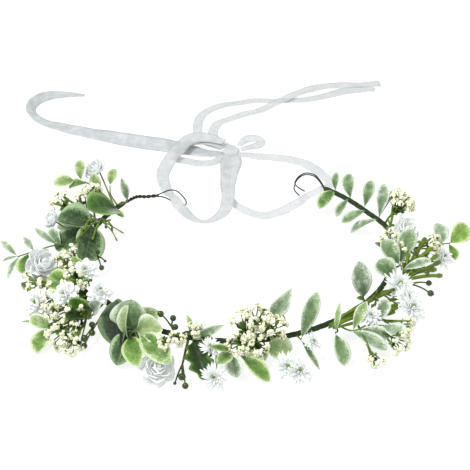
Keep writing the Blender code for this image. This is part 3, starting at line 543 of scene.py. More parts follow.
# A run is its name, what its far end is on, and its rows: x, y, z of the middle line, the share of the full
# width, and the lean from lying flat
RIBBON_RUNS = (
    ("ribbon_eye_loop", "object", (
        (-9, 149, 7.5, 0.6, 10), (-21, 154, 8.5, 0.8, 20), (-34, 151, 8.5, 0.9, 25),
        (-41, 138, 7.5, 0.9, 20), (-46, 128, 6.5, 0.9, 10), (-51, 110, 5, 0.9, 10),
        (-50, 96, 5, 0.8, 0), (-47, 82, 6.5, 0.7, 0), (-43.5, 69, 10.5, 0.6, 0),
        (-41, 59, 14.2, 0.6, 0), (-37.5, 52, 13, 0.8, 0), (-30, 47, 7.5, 1.0, 10), (-21, 47, 4, 1.0, 20),
        (-14, 51, 4, 1.0, 20), (-8, 62, 4, 0.9, 10), (-6, 76, 5, 0.9, 10),
        (-6, 92, 5.5, 1.0, 10), (-5, 110, 6, 1.3, 0), (-4, 124, 6, 1.5, 0), (-4, 134, 5.4, 1.1, 0),
    )),
    ("ribbon_neck_loop", "object", (
        (2, 138.5, 3, 0.6, 0), (13, 139, 1.5, 0.8, 0), (26, 138.5, 0.8, 0.9, 0), (41, 134, 0.8, 0.9, 0),
        (52, 125, 1, 0.9, 0), (59, 110, 3, 0.8, 0), (63, 95, 7, 0.7, 0), (62, 84, 9.3, 0.6, 0),
        (55, 79, 9.3, 0.6, 0), (46, 76, 5, 0.7, 0), (36, 70, 1.5, 0.8, 0), (26, 63, 0.8, 0.8, 0),
        (16, 60, 0.8, 0.8, 0), (6, 66, 0.8, 0.7, 0), (-3, 77, 0.8, 0.6, 0), (-8, 92, 0.8, 0.6, 0),
        (-8, 109, 1, 0.7, 0), (-6, 124, 1.8, 0.8, 0), (-5, 134, 2.6, 0.7, 0),
    )),
    ("ribbon_bow_left", "object", (
        (-8.6, 135.6, 4, 0.5, 0), (-16, 128, 3, 0.7, 0), (-25, 128, 2, 0.8, 0), (-34, 130, 2, 0.8, 0),
        (-43, 134, 2.5, 0.7, 0), (-45, 142, 3.5, 0.7, 0), (-38, 150, 4.5, 0.7, 0),
        (-27, 153, 5.2, 0.7, 0), (-18, 151, 5.4, 0.6, 0), (-9.6, 144.8, 5, 0.5, 0),
    )),
    ("ribbon_bow_right", "object", (
        (2, 145, 6.6, 0.4, 0), (4, 149.5, 7.2, 0.5, -20), (8, 153.5, 7.5, 0.6, -30), (14, 154, 7.5, 0.6, -20),
        (17.5, 150, 7, 0.6, 0), (15, 146, 6.5, 0.6, 20), (9, 144, 6, 0.5, 10), (3, 142.3, 5, 0.4, 0),
    )),
    ("ribbon_tail_left", "bare", (
        (-9.9, 139.6, 2.4, 0.7, 0), (-22, 143.5, 1.2, 1.0, 0), (-34, 148.5, 1.2, 1.2, 8),
        (-47, 152, 2.2, 1.25, 17), (-77, 160, 3.0, 1.15, 26), (-106, 172, 2.0, 1.0, 18),
        (-130, 184, 1.0, 1.0, 5),
        (-146, 194, 1.2, 0.95, -10), (-154, 205, 3, 0.9, -30), (-154, 216, 4, 0.8, -45),
        (-147, 228, 3.5, 0.75, -45), (-133, 235, 2, 0.6, -25), (-117, 235, 0.7, 0.3, 0),
    )),
    ("ribbon_tail_right_a", "bare", (
        (-10, 148.5, 2.8, 0.5, 0), (-21, 156, 2, 0.6, 0), (-27, 166, 1, 0.6, 0), (-29, 183, 0.7, 0.7, 0),
        (-27, 200, 0.7, 0.7, 0), (-19, 213, 0.7, 0.7, 0), (-6, 221, 0.7, 0.7, 0), (12, 226, 0.7, 0.7, 0),
        (28, 227, 0.7, 0.7, 0), (45, 227, 0.7, 0.7, 0), (62, 232, 0.7, 0.8, 0), (82, 242, 0.7, 1.0, 0),
        (98, 247, 0.7, 1.0, 0), (107, 245, 0.7, 0.6, 0),
    )),
    ("ribbon_tail_right_b", "bare", (
        (-5, 149.5, 3.5, 0.5, 0), (-13, 158, 3, 0.6, 0), (-17, 168, 1.8, 0.7, 0), (-17, 181, 0.8, 0.7, 0),
        (-12, 192, 0.7, 0.7, 0), (2, 202, 0.7, 0.7, 0), (20, 212, 1.5, 0.7, 0), (35, 224, 3, 0.7, 0),
        (48, 237, 2.5, 0.8, 0), (61, 248, 1, 0.9, 0), (77, 253, 0.7, 0.9, 0), (94, 253.5, 0.7, 0.9, 0),
        (112, 256, 0.7, 0.8, 0),
    )),
)


def organza_cloth():
    """Sheer cloth with a weave, a moire and streaks along it. Its tone thickens and greys it."""
    made, tree = material("organza_ribbon", roughness=0.45, sheen_weight=0.4)
    uv = tree.uv()
    edge = abs(uv["X"] - 0.5).step(0.40, 0.49)
    weave = (uv["X"] * THREADS_ACROSS).maths("SINE") * (uv["Y"] * THREADS_ALONG).maths("SINE")
    moire = tree.noise(160.0)
    lines = tree.node("ShaderNodeCombineXYZ", None, {
        "X": uv["X"] * STREAKS_ACROSS, "Y": uv["Y"] * STREAKS_ALONG,
    })
    streak = tree.noise(1.0, 2.0, lines)
    density = tree.tone() + (1.0 - PLAIN_DENSITY)
    cover = moire * 0.30 + streak * 0.30 + edge * 0.06 + weave * 0.06 + 0.36
    tree.feed(tree.end, "Alpha", cover * density)
    tree.paint(moire - (density - 1.0) * 0.9, ink(178, 184, 187), ink(224, 227, 227))
    tree.bump(weave + moire, strength=0.15, distance=0.0002)
    return made


ORGANZA = organza_cloth()


def ribbon(rows, waves, density):
    """Flat ribbon along its middle line, a little crinkled, with that line and its length."""
    middle_line = smooth_path([row[:3] for row in rows], CURVE_STEPS)
    shares = smooth_path([(share, lean, 0.0) for *_, share, lean in rows], CURVE_STEPS)
    sides = [lane / (RIBBON_LANES - 1) for lane in range(RIBBON_LANES)]
    rings = []
    uv_rings = []
    run = 0.0
    for index, (point, ahead, share) in enumerate(zip(middle_line, tangents(middle_line), shares)):
        if index:
            run += (point - middle_line[index - 1]).length
        level = ahead.cross(UP).normalized()
        normal = level.cross(ahead)
        turn = math.radians(share.y)
        across = level * math.cos(turn) + normal * math.sin(turn)
        thick = normal * math.cos(turn) - level * math.sin(turn)
        top = []
        for lane in range(RIBBON_LANES):
            v = 2 * lane / (RIBBON_LANES - 1) - 1
            rise = sum(size * math.sin(run / wave + phase + v * slant) for size, wave, phase, slant in waves)
            rise *= MIDDLE_CRINKLE + (1 - MIDDLE_CRINKLE) * v * v
            top.append(point + across * v * RIBBON_WIDTH / 2 * share.x + thick * rise)
        half = thick * RIBBON_THICKNESS / 2
        rings.append([spot + half for spot in top] + [spot - half for spot in reversed(top)])
        uv_rings.append([(side, run * MM) for side in sides + sides[::-1]])
    bunch = Bunch()
    bunch.loft(rings, uv_rings, ORGANZA, density)
    return bunch, middle_line, run


cords = {}
for run_name, far_end, rows in RIBBON_RUNS:
    dice = random.Random(run_name)
    crinkles = []
    for _ in range(RIBBON_WAVES):
        size, wave = RIBBON_CRINKLE * dice.uniform(*WAVE_SIZES), dice.uniform(*WAVE_LENGTHS)
        crinkles.append((size, wave, dice.uniform(*ANY_PHASE), dice.uniform(*WAVE_SLANTS)))
    bunch, middle_line, length = ribbon(rows, crinkles, RIBBON_DENSITY.get(run_name, PLAIN_DENSITY))
    item = bunch.build("seen_" + run_name)
    width = RIBBON_WIDTH * sum(row[3] for row in rows) / len(rows)
    cords[run_name] = (item, middle_line, length, far_end, width)
    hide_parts(run_name)

# The two loops that cross an arm: the arm, and where the bend starts and ends
LOOP_BENDS = {
    "ribbon_eye_loop": ("left_arm", Vector((-25, 125, 6)), Vector((-38, 78, 8))),
    "ribbon_neck_loop": ("right_arm", Vector((12, 112, 2)), Vector((50, 90, 6))),
}
for run_name, (item, *_) in cords.items():
    if run_name in LOOP_BENDS:
        arm, start, end = LOOP_BENDS[run_name]
        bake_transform(item)
    else:
        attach(item, "front_arc")


# The knot: one turn of the ribbon drawn tight round the crossing, gathered into folds. It holds the loops
# and the tails.

KNOT_CENTRE = Vector((-4.0, 141.0, 4.0))
KNOT_SIZE = Vector((5.8, 6.8, 3.5))
KNOT_ROWS = 16
KNOT_SIDES = 40
KNOT_FULLNESS = 2.6
KNOT_BELLY = 0.92
KNOT_NECK = 0.05
# A fold is its depth, how many there are in a turn, and its slant
KNOT_FOLDS = ((0.07, 5, 3), (0.05, 9, -5))
# Share of the ribbon's width that shows to each side of the knot's middle, and metres of ribbon round it
KNOT_CLOTH = (1 / 2.2, 0.1)

knot = Bunch()
knot_rings = []
knot_uvs = []
for row in range(KNOT_ROWS + 1):
    height = -1 + 2 * row / KNOT_ROWS
    reach = (1 - abs(height) ** KNOT_FULLNESS) ** 0.5 * KNOT_BELLY + KNOT_NECK
    ring = []
    for index in range(KNOT_SIDES):
        turn = math.tau * index / KNOT_SIDES
        fold = 1 + sum(depth * math.sin(count * turn + slant * height) for depth, count, slant in KNOT_FOLDS)
        spot = Vector((math.cos(turn) * reach * fold, height, math.sin(turn) * reach * fold))
        ring.append(KNOT_CENTRE + spot * KNOT_SIZE)
    knot_rings.append(ring)
    knot_uvs.append([(0.5 + height * KNOT_CLOTH[0], KNOT_CLOTH[1] * index / KNOT_SIDES)
                     for index in range(KNOT_SIDES)])
knot.loft(knot_rings, knot_uvs, ORGANZA, PLAIN_DENSITY)
knot = dress(knot, "ribbon_knot")

for run_name, (item, middle_line, length, far_end, width) in cords.items():
    middle_line[0] * MM
    length * MM
    width * MM
    [point * MM for point in middle_line]
    [knot] if run_name == "ribbon_tail_left" else []


# Leaf sprigs: printed fabric leaves with a moulded midrib and a frosted, paler rim, on green
# plastic-coated wire stems whose ends are bound under the tape.

SEAT_DEPTH = 0.7
STEM_RADIUS = 0.6
STEM_SIDES = 8
STEM_TAPER = 0.35
SPRIG_STEPS = 6
LEAF_THICKNESS = 0.45
LEAF_ROOM = 1.12
LEAF_TONES = (0.2, 0.8)
# A sprig is its name, slot, seat (angle, side: 0 outer, 90 top, 180 inner) and shoots. A shoot is its route
# and its leaves: share along it, tip, width, facing (azimuth, elevation), cloth and outline.
LEAF_SPRIGS = (
    ("leaf_sprig_left_end", "silver_leaf_cloth", (-124, 60), (
        (((-123.5, 4, 8), (-124, 5, 14)), (
            (1.0, (-127.5, 5, 24), 6.5, (-10, 40), "pale", "oval"),
        )),
        (((-126.5, -6, 4),), (
            (1.0, (-126.5, -1.5, 20), 5.5, (20, 30), "frost", "lance"),
        )),
    )),
    ("leaf_sprig_left_back", "pale_leaf_cloth", (-118, 35), (
        (((-118.5, 8, 14), (-120, 19, 16), (-120.5, 29, 14)), (
            (0.3, (-118, 9.5, 27), 7.5, (-10, 45), "pale", "oval"),
            (0.8, (-124, 29.5, 26), 7.5, (-10, 40), "pale", "oval"),
            (0.6, (-119.5, 32.5, 10), 7, (-30, 60), "bright", "oval"),
            (1.0, (-116, 38.5, 14), 9.5, (-30, 55), "pale", "round"),
        )),
    )),
    ("glossy_leaf_left", "dark_leaf_cloth", (-119, 150), (
        (((-118.5, -7, 5),), (
            (0.95, (-104, 1.5, 17), 21, (-20, 55), "glossy", "round"),
            (0.6, (-117.5, -12.5, 1), 4, (0, 70), "green", "lance"),
        )),
    )),
    ("round_leaves_left", "dark_leaf_cloth", (-98, 100), (
        (((-97, -3, 9), (-95, -4, 14)), (
            (0.7, (-96, 18, 16), 18, (-30, 75), "dark", "bowl"),
            (1.0, (-78, 0.5, 4), 18, (30, 35), "dark", "round"),
            (0.9, (-91, 19, 0), 14, (-10, 50), "dark", "oval"),
        )),
    )),
    ("leaf_sprig_left_low", "silver_leaf_cloth", (-102, -20), (
        (((-101.5, 6, -1),), (
            (1.0, (-107.5, 26.5, -2), 9, (-60, 60), "frost", "oval"),
            (1.0, (-94.5, 19, -3), 10, (-40, 60), "dark", "oval"),
            (0.9, (-103, 9, -11.9), 6, (-90, 30), "silver", "oval"),
        )),
    )),
    ("narrow_sprig_left", "silver_leaf_cloth", (-91, 0), (
        (((-91, 16, 3), (-88.5, 30, 2), (-86.5, 41, 1)), (
            (0.35, (-93, 32, 13), 4.5, (-40, 60), "frost", "lance"),
            (0.3, (-95, 23.5, 10), 7.5, (-30, 50), "frost", "oval"),
            (0.7, (-91.5, 38.5, 8), 4.5, (-40, 60), "frost", "lance"),
            (1.0, (-90.5, 52.5, 7), 4.5, (-40, 60), "frost", "lance"),
            (1.0, (-86.5, 51.5, -2), 3, (-40, 60), "frost", "lance"),
            (0.95, (-81, 47.5, -6), 4.5, (-40, 60), "frost", "oval"),
            (0.8, (-81, 38.5, -3), 9, (-40, 60), "green", "oval"),
        )),
    )),
    ("green_leaves_left", "pale_leaf_cloth", (-64, 70), (
        (((-63, 6, 9), (-62.5, 16.5, 8)), (
            (1.0, (-68, 25.5, 12), 13, (-20, 50), "green", "round"),
            (0.6, (-79.5, 15, 5), 9, (-20, 50), "deep", "oval"),
            (0.1, (-74.5, 8.5, 14), 5, (0, 50), "green", "oval"),
        )),
    )),
    ("mixed_leaves_left", "dark_leaf_cloth", (-55, -50), (
        (((-54.5, 9, -5), (-53.5, 14, -6)), (
            (0.7, (-55.5, 23, 9), 11, (-20, 50), "glossy", "round"),
            (1.0, (-50.5, 31.5, 7), 12, (-30, 50), "deep", "round"),
            (0.5, (-46.5, 14.5, 13), 8, (-10, 40), "frost", "oval"),
            (0.3, (-66.5, 5, 2), 10, (-10, 50), "deep", "oval"),
        )),
    )),
    ("light_sprig_left", "pale_leaf_cloth", (-58, -60), (
        (((-58, 10, -6), (-57.5, 25, -7), (-56, 38, -6)), (
            (1.0, (-51.5, 52, -10), 10.5, (-30, 65), "bright", "round"),
            (0.95, (-61, 44, -3), 7.5, (-30, 55), "pale", "bowl"),
            (0.9, (-63, 48.5, -7), 2.4, (-30, 60), "frost", "lance"),
        )),
    )),
    ("eucalyptus_front_left", "pale_leaf_cloth", (-34, 15), (
        (((-34.5, 9, 2), (-34, 22.5, -3)), (
            (1.0, (-47.5, 3.5, 9), 18.5, (-40, 35), "shade", "round"),
            (0.5, (-36.5, 7, 20), 20, (-20, 40), "silver", "round"),
            (0.75, (-33.5, 17.5, 24), 8, (-50, 25), "pale", "shell"),
            (0.4, (-27.5, 3.5, 16), 12, (0, 45), "pale", "spoon"),
            (0.6, (-22.5, 16.5, 15), 15, (0, 40), "pale", "spoon"),
            (0.5, (-33, 30.5, -8), 14, (-20, 60), "dark", "round"),
            (0.3, (-35, 15.5, -6), 13, (-20, 60), "dark", "round"),
            (0.7, (-25, 36.5, 3), 11.5, (-10, 50), "green", "oval"),
            (0.5, (-17, 34, 8), 12.5, (-10, 50), "bright", "spoon"),
        )),
    )),
    ("dark_leaves_front", "dark_leaf_cloth", (-15, 20), (
        (((-14.5, 5, 3), (-14, 8, 3)), (
            (0.75, (-8, 29, -4), 14.5, (0, 45), "deep", "lobed"),
            (0.3, (-7.5, 14.5, 1), 13, (0, 45), "deep", "round"),
            (0.4, (-8, 27.5, -10), 4, (-10, 60), "deep", "lance"),
            (0.6, (-4.5, -6, 8), 5.5, (0, 50), "frost", "point"),
            (0.4, (-18.5, -4.5, 13), 3.5, (0, 40), "pale", "lance"),
        )),
    )),
    ("grey_leaves_front", "silver_leaf_cloth", (-2, -20), (
        (((-2, 5, -1), (-2, 10, 0)), (
            (0.9, (0, 23, -7), 9, (0, 60), "frost", "oval"),
            (1.0, (-5, 27.5, 6), 7, (0, 50), "bright", "oval"),
            (0.8, (8.5, 26, -8), 8.5, (10, 60), "green", "spoon"),
            (0.7, (-7, 24.5, 15), 4, (0, 50), "green", "lance"),
        )),
    )),
    ("standing_leaf_front", "silver_leaf_cloth", (14, 120), (
        (((14, -5, 8), (12, -4.5, 13)), (
            (1.0, (20, -5, 30), 9, (0, 30), "frost", "point"),
        )),
    )),
    ("round_leaf_front", "pale_leaf_cloth", (9, -10), (
        (((9, 6, 0),), (
            (1.0, (17.5, 9.5, -3), 13, (0, 50), "pale", "round"),
            (0.9, (8.5, 11, -6), 3.5, (0, 60), "pale", "lance"),
        )),
    )),
    ("leaf_pair_front_right", "silver_leaf_cloth", (21, -10), (
        (((21, 6, 1),), (
            (1.0, (27.5, 2.5, 28), 8.5, (0, 30), "silver", "oval"),
            (1.0, (23, 24, -8), 3.5, (20, 60), "silver", "lance"),
        )),
    )),
    ("eucalyptus_right_front", "pale_leaf_cloth", (36, 0), (
        (((34, 8, 1), (32.5, 9, 1)), (
            (1.0, (29.5, 28, -7), 9, (20, 60), "silver", "oval"),
            (0.9, (37, 3, 16), 3.5, (0, 40), "pale", "lance"),
        )),
        (((38.5, 11, -1), (43.5, 14, 0), (47.5, 20, -1)), (
            (0.35, (47, 8, 11), 6.5, (20, 50), "pale", "lance"),
            (0.5, (45, 28, -3), 8, (20, 55), "frost", "oval"),
            (0.85, (52.5, 15, 10), 8, (20, 50), "frost", "oval"),
            (0.3, (42, 32.5, -5), 9, (30, 60), "frost", "oval"),
            (0.95, (46.5, 37, 0), 11, (30, 60), "frost", "oval"),
        )),
    )),
    ("silver_leaf_right", "silver_leaf_cloth", (53, 120), (
        (((52, -0.5, 4),), (
            (1.0, (50.5, -3.5, 30), 11, (0, 30), "frost", "oval"),
            (0.7, (48, -1, 8), 3, (0, 45), "green", "lance"),
        )),
    )),
    ("leaf_whorl_right", "silver_leaf_cloth", (77, 20), (
        (((77, 7, 4),), (
            (1.0, (88, -9, 9), 8, (40, 50), "dark", "oval"),
            (1.0, (81, -5, 17), 11, (20, 45), "silver", "oval"),
            (1.0, (86.5, 12.5, 20), 11, (0, 40), "silver", "oval"),
        )),
        (((77, 7, 4), (66.5, 11.5, 14)), (
            (1.0, (69, 27.5, 22), 5.5, (30, 55), "frost", "oval"),
        )),
        (((68.5, 8, 2),), (
            (1.0, (74, -5.5, 10), 12, (10, 45), "silver", "oval"),
        )),
    )),
    ("leaf_sprig_right", "pale_leaf_cloth", (90, 10), (
        (((90, 15, 6), (90, 30, 5), (91, 38, 4)), (
            (0.75, (95.5, 31.5, 13), 10, (30, 50), "frost", "round"),
            (0.75, (86, 29, 12), 5, (30, 50), "pale", "oval"),
            (1.0, (96, 51.5, 9), 12, (30, 50), "lime", "round"),
            (0.95, (87, 41, -2), 6, (30, 60), "green", "oval"),
        )),
    )),
)
END_SPRIG_BOUND = (111, 118, 125, 132, 138)
END_SPRIG_DEPTH = 0.2
END_SPRIG_LEAVES = (
    (0.02, (119.5, 27.5, 11), 7, (180, 60), "frost", "oval"),
    (0.02, (119.5, 15, 17), 8, (-20, 50), "frost", "oval"),
    (0.33, (125, 12.5, 15), 7.5, (-20, 50), "silver", "oval"),
    (0.62, (135, 9.5, 13), 8, (-20, 50), "silver", "oval"),
    (0.95, (140, 8.5, 11), 5, (-20, 50), "silver", "oval"),
    (0.0, (118, -12, -11.2), 6.5, (-60, 60), "frost", "oval"),
    (0.28, (121.5, -15, -5), 8, (-40, 70), "silver", "oval"),
    (0.66, (127, -13.5, -5), 6, (-40, 70), "silver", "oval"),
    (1.0, (137.5, -14.5, -5), 9.5, (-40, 70), "bright", "round"),
)

# An outline is the share of bare stalk at its base, how far up and how full the blade is, and its cup
OUTLINES = {
    "oval": (0.08, 1.45, 0.55, 0.35), "round": (0.05, 1.15, 0.48, 0.30), "lance": (0.05, 1.15, 0.80, 0.35),
    "point": (0.05, 0.72, 0.90, 0.35), "bowl": (0.04, 1.00, 0.50, 0.85), "spoon": (0.30, 1.20, 0.50, 0.35),
    "shell": (0.05, 1.15, 0.50, 0.55), "lobed": (0.05, 1.00, 0.42, 0.30),
}
LOBED_EDGE = {"stations": 36, "lobes": 3.5}
LOBE_DEPTH = 0.34
LEAST_WIDTH = 0.05
END_MARGIN = 0.04
RIB_DEPTH = 0.12
RIB_SHARPNESS = 6
EDGE_THINNING = 0.75
RIPPLE_DEPTHS = (0.02, 0.07)
RIPPLE_WAVES = (2.0, 4.0)
SWAYS = (-0.05, 0.05)
BOW_SHARES = (0.7, 1.3)
VEIN_PAIRS = 9.0
VEIN_SLANT = 1.6


def leaf_cloth(name, deep, light, rim, frost, roughness, coat):
    """Printed leaf cloth: deep to light green, a pale rim and midrib, and a dusting of frost."""
    made, tree = material(name, roughness, coat_weight=coat, sheen_weight=0.3 * frost)
    uv = tree.uv()
    across = abs(uv["X"] * 2.0 - 1.0)
    cloud = tree.noise(240.0)
    grain = tree.noise(1700.0, 4.0)
    shade = (cloud * 0.9 + tree.tone() * 0.5 + across * 0.3 + uv["Y"] * 0.4 - 0.57).step(0.0, 1.0)
    veins = ((uv["Y"] * VEIN_PAIRS - across * VEIN_SLANT) * math.tau).maths("SINE").step(0.75, 1.0)
    rib = 1.0 - across.step(0.02, 0.09)
    edge = (across + grain * 0.5).step(0.88, 1.18)
    tip = (uv["Y"] + grain * 0.4).step(1.02, 1.25)
    dust = (grain * 0.8 + cloud * 0.5 + across * 0.2 + uv["Y"] * 0.15).step(0.78, 1.05) * frost
    pale = (edge * 0.9 + tip * 0.5 + rib * 0.12 + veins * 0.06 + dust).maths("MINIMUM", 1.0)
    tree.paint(pale, tree.mix(shade, ink(*deep), ink(*light)), ink(*rim))
    tree.bump(rib * 0.6 + veins * 0.35 + grain * 0.5, strength=0.35, distance=0.0005)
    return made


# A cloth is its finish's name, its deep, light and rim colours, its frost, roughness and coat
CLOTHS = {
    "pale": leaf_cloth("pale_leaf_cloth", (98, 128, 62), (162, 184, 122), (212, 223, 194), 0.7, 0.6, 0.05),
    "lime": leaf_cloth("lime_leaf_cloth", (96, 138, 40), (160, 192, 88), (214, 226, 176), 0.5, 0.55, 0.05),
    "bright": leaf_cloth("bright_leaf_cloth", (54, 98, 16), (116, 152, 62), (200, 214, 174), 0.6, 0.55, 0.05),
    "frost": leaf_cloth("frosted_leaf_cloth", (84, 112, 76), (154, 174, 140), (214, 223, 208), 0.9, 0.7, 0.0),
    "silver": leaf_cloth("silver_leaf_cloth", (56, 86, 44), (122, 150, 100), (196, 209, 185), 0.6, 0.7, 0.0),
    "dark": leaf_cloth("dark_leaf_cloth", (20, 46, 12), (68, 102, 52), (152, 177, 132), 0.35, 0.5, 0.1),
    "shade": leaf_cloth("shaded_leaf_cloth", (8, 24, 8), (40, 62, 34), (112, 138, 98), 0.15, 0.6, 0.05),
    "glossy": leaf_cloth("glossy_leaf_cloth", (14, 42, 0), (62, 114, 10), (140, 174, 98), 0.1, 0.25, 0.4),
    "green": leaf_cloth("green_leaf_cloth", (50, 88, 22), (118, 158, 62), (190, 209, 148), 0.3, 0.45, 0.1),
    "deep": leaf_cloth("deep_leaf_cloth", (5, 17, 0), (32, 64, 4), (84, 116, 40), 0.06, 0.55, 0.05),
}

STEM, stem_tree = material("stem_green", roughness=0.42, coat_weight=0.15)
stem_shade = stem_tree.noise(260.0) * 0.8 + stem_tree.tone() * 0.6 - 0.2
stem_tree.paint(stem_shade, ink(24, 44, 6), ink(120, 150, 34))
stem_tree.bump(stem_tree.noise(1200.0), strength=0.25, distance=0.0003)


def facing(azimuth, elevation):
    lift = math.radians(elevation)
    return polar(azimuth, math.cos(lift), math.sin(lift))


def seat(bound_at):
    """Where a stem's end goes under the tape."""
    angle, side = bound_at
    lift = math.radians(side)
    outwards = polar(angle, math.cos(lift), 0.0) + UP * math.sin(lift)
    return band_point(angle) + outwards * (TAPE_RADIUS - SEAT_DEPTH)


def blade(bunch, matrix, outline, width, thickness, look, tone, dice,
          stations=14, lanes=9, bow=0.07, curl=0.05, lobes=0):
    """Thin closed blade of unit length along +Z with its face to +Y, set in place by a matrix."""
    stalk, widest, fullness, cup = outline
    ripple, waves = dice.uniform(*RIPPLE_DEPTHS), dice.uniform(*RIPPLE_WAVES)
    phase, sway, lift = dice.uniform(*ANY_PHASE), dice.uniform(*SWAYS), dice.uniform(*BOW_SHARES)
    rings = []
    uv_rings = []
    for station in range(stations):
        turn = END_MARGIN + (1 - 2 * END_MARGIN) * station / (stations - 1)
        u = 0.5 - 0.5 * math.cos(math.pi * turn)
        grown = max(0.0, (u - stalk) / (1 - stalk))
        half = width / 2 * max(math.sin(math.pi * grown ** widest) ** fullness, LEAST_WIDTH)
        if lobes:
            half *= 1 - LOBE_DEPTH * math.cos(math.pi * lobes * u) ** 2
        middle = Vector((sway * math.sin(math.pi * u), bow * lift * math.sin(math.pi * u) - curl * u * u, u))
        top, bottom, spots = [], [], []
        for lane in range(lanes):
            v = 2 * lane / (lanes - 1) - 1
            wave = ripple * half * math.sin(waves * math.pi * u + phase + 2 * v) * abs(v)
            rib = RIB_DEPTH * half * (1 - abs(v)) ** RIB_SHARPNESS
            spot = middle + Vector((half * v, cup * half * v * v - rib + wave, 0))
            deep = Vector((0, thickness * (1 - EDGE_THINNING * v * v) / 2, 0))
            top.append(spot + deep)
            bottom.append(spot - deep)
            spots.append(((v + 1) / 2, u))
        rings.append([matrix @ spot for spot in top + bottom[::-1]])
        uv_rings.append(spots + spots[::-1])
    poles = (matrix @ Vector((0, 0, 0)), matrix @ Vector((0.0, -curl, 1.0)))
    bunch.loft(rings, uv_rings, look, tone, poles)


def leaf(bunch, base, tip, width, face, cloth, outline, dice):
    ahead = (tip - base).normalized()
    length = (tip - base).length
    normal = (face - ahead * face.dot(ahead)).normalized()
    side = normal.cross(ahead)
    matrix = Matrix((side * length, normal * length, ahead * length)).transposed().to_4x4()
    matrix.translation = base
    edge = LOBED_EDGE if outline == "lobed" else {}
    blade(bunch, matrix, OUTLINES[outline], width * LEAF_ROOM / length, LEAF_THICKNESS / length,
          CLOTHS[cloth], dice.uniform(*LEAF_TONES), dice, **edge)


def stem(bunch, points, radius=STEM_RADIUS, tone=PLAIN_TONE, look=STEM):
    last = len(points) - 1
    radii = [radius * (1 - STEM_TAPER * index / last) for index in range(last + 1)]
    bunch.tube(points, radii, STEM_SIDES, look, tone)


def leaves_along(bunch, points, leaves, dice):
    for share, tip, width, face, cloth, outline in leaves:
        leaf(bunch, along(points, share), place(*tip), width, facing(*face), cloth, outline, dice)


for sprig_name, slot, bound_at, shoots in LEAF_SPRIGS:
    dice = random.Random(sprig_name)
    bunch = Bunch()
    for route, leaves in shoots:
        points = smooth_path([seat(bound_at)] + [place(*stop) for stop in route], SPRIG_STEPS)
        stem(bunch, points, tone=dice.random())
        leaves_along(bunch, points, leaves, dice)
    dress(bunch, sprig_name)

# The long sprig along the right end has its stem bound on top of the tape, with leaves to both sides
dice = random.Random("end sprig")
bunch = Bunch()
lift = UP * (TAPE_RADIUS - END_SPRIG_DEPTH)
points = smooth_path([band_point(angle) + lift for angle in END_SPRIG_BOUND], SPRIG_STEPS)
stem(bunch, points, look=TAPE)
leaves_along(bunch, points, END_SPRIG_LEAVES, dice)
dress(bunch, "leaf_sprig_right_end")


# Roses and blossoms: white petal cloth, pressed into cupped petals that wind round each other from a tight
# bud to open outer petals, on a small green calyx and a wired stem.

# A flower is its name, seat and heads: place, radius and (azimuth, elevation)
ROSES = (
    ("rose_left", (-80, 20), (((-76.5, 25, 10), 10.5, (40, 60)),)),
    ("rose_front", (-23, -60), (((-20.5, 30, -0.5), 10, (15, 50)),)),
    ("rose_right", (97, 70), (((93, 11, 13), 8.5, (15, 50)),)),
    ("blossom_left_back", (-122, 70), (((-125.5, 20, 21), 7.5, (-60, 55)),)),
    ("blossom_left", (-96, 10), (((-101, 25.5, 9), 6.5, (-60, 45)),)),
)
# These flowers lie more in the light than the others, so they take a greyer copy of the petal cloth: painted
# shade
SHADED_FLOWERS = ("rose_left", "blossom_left_back", "blossom_left")
GOLDEN_TURN = math.pi * (3.0 - math.sqrt(5.0))
STEM_RUN = 3.5
# From here on, a flower's sizes are shares of its radius. A swelling is its start on the axis, its step
# and its radii
CALYX_DROP = 0.55
STEM_END = 0.3
CALYX = (0.05, 0.08, (0.06, 0.16, 0.24, 0.28, 0.26))
ROSE_BUD = (-0.3, 0.1, (0.2, 0.2, 0.19, 0.17, 0.16, 0.14, 0.11, 0.05))
SWELLING_SIDES = 10
FLOWER_STEM_TONE = 0.6
CALYX_TONE = 0.7
BUD_TONE = 0.4
HEAD_SPREAD = 1.22
ROSE_SINK = 0.36
ROSE_WHORLS = {
    "Count": 19, "Inner Tilt": 0.05, "Outer Tilt": 1.30, "Opening": 1.1,
    "Inner Size": 0.55, "Outer Size": 1.0,
}
TILT_CHANCE = 0.10
TURN_CHANCE = 0.15
ROLL_CHANCE = 0.12
SIZE_CHANCE = (0.9, 1.08)
PETAL_THICKNESS = 0.03
ROSE_PETAL_OFFSET = Vector((0.0, -0.10, 0.0))
WHITE = (1.0, 1.0, 1.0, 1.0)


def petal_cloth(name, root, rim):
    """White cloth, greyer at a petal's root than at its rim as painted shade in the creases, with a faint
    white glow as painted light that lifts the shade between petals.
    """
    cloth, tree = material(
        name, roughness=0.7, sheen_weight=0.2, emission_color=WHITE, emission_strength=0.08,
    )
    grain = tree.noise(1100.0)
    tree.paint(tree.uv()["Y"].step(0.0, 0.8) * 0.7 + tree.tone() * 0.3 + grain * 0.1, root, rim)
    tree.bump(grain, strength=0.15, distance=0.0003)
    return cloth


PETAL = petal_cloth("white_petal_cloth", ink(204, 210, 208), ink(246, 249, 247))
# A greyer copy of the petal cloth, as painted shade on the flowers that lie more in the light
SHADED_PETAL = petal_cloth("shaded_petal_cloth", ink(177, 183, 182), ink(232, 236, 235))


def chance(tree, low, high, seed):
    """A number between two limits, drawn anew for each petal or floret."""
    inputs = {2: low, 3: high, "Seed": seed}
    return tree.node("FunctionNodeRandomValue", {"data_type": "FLOAT"}, inputs)[1]


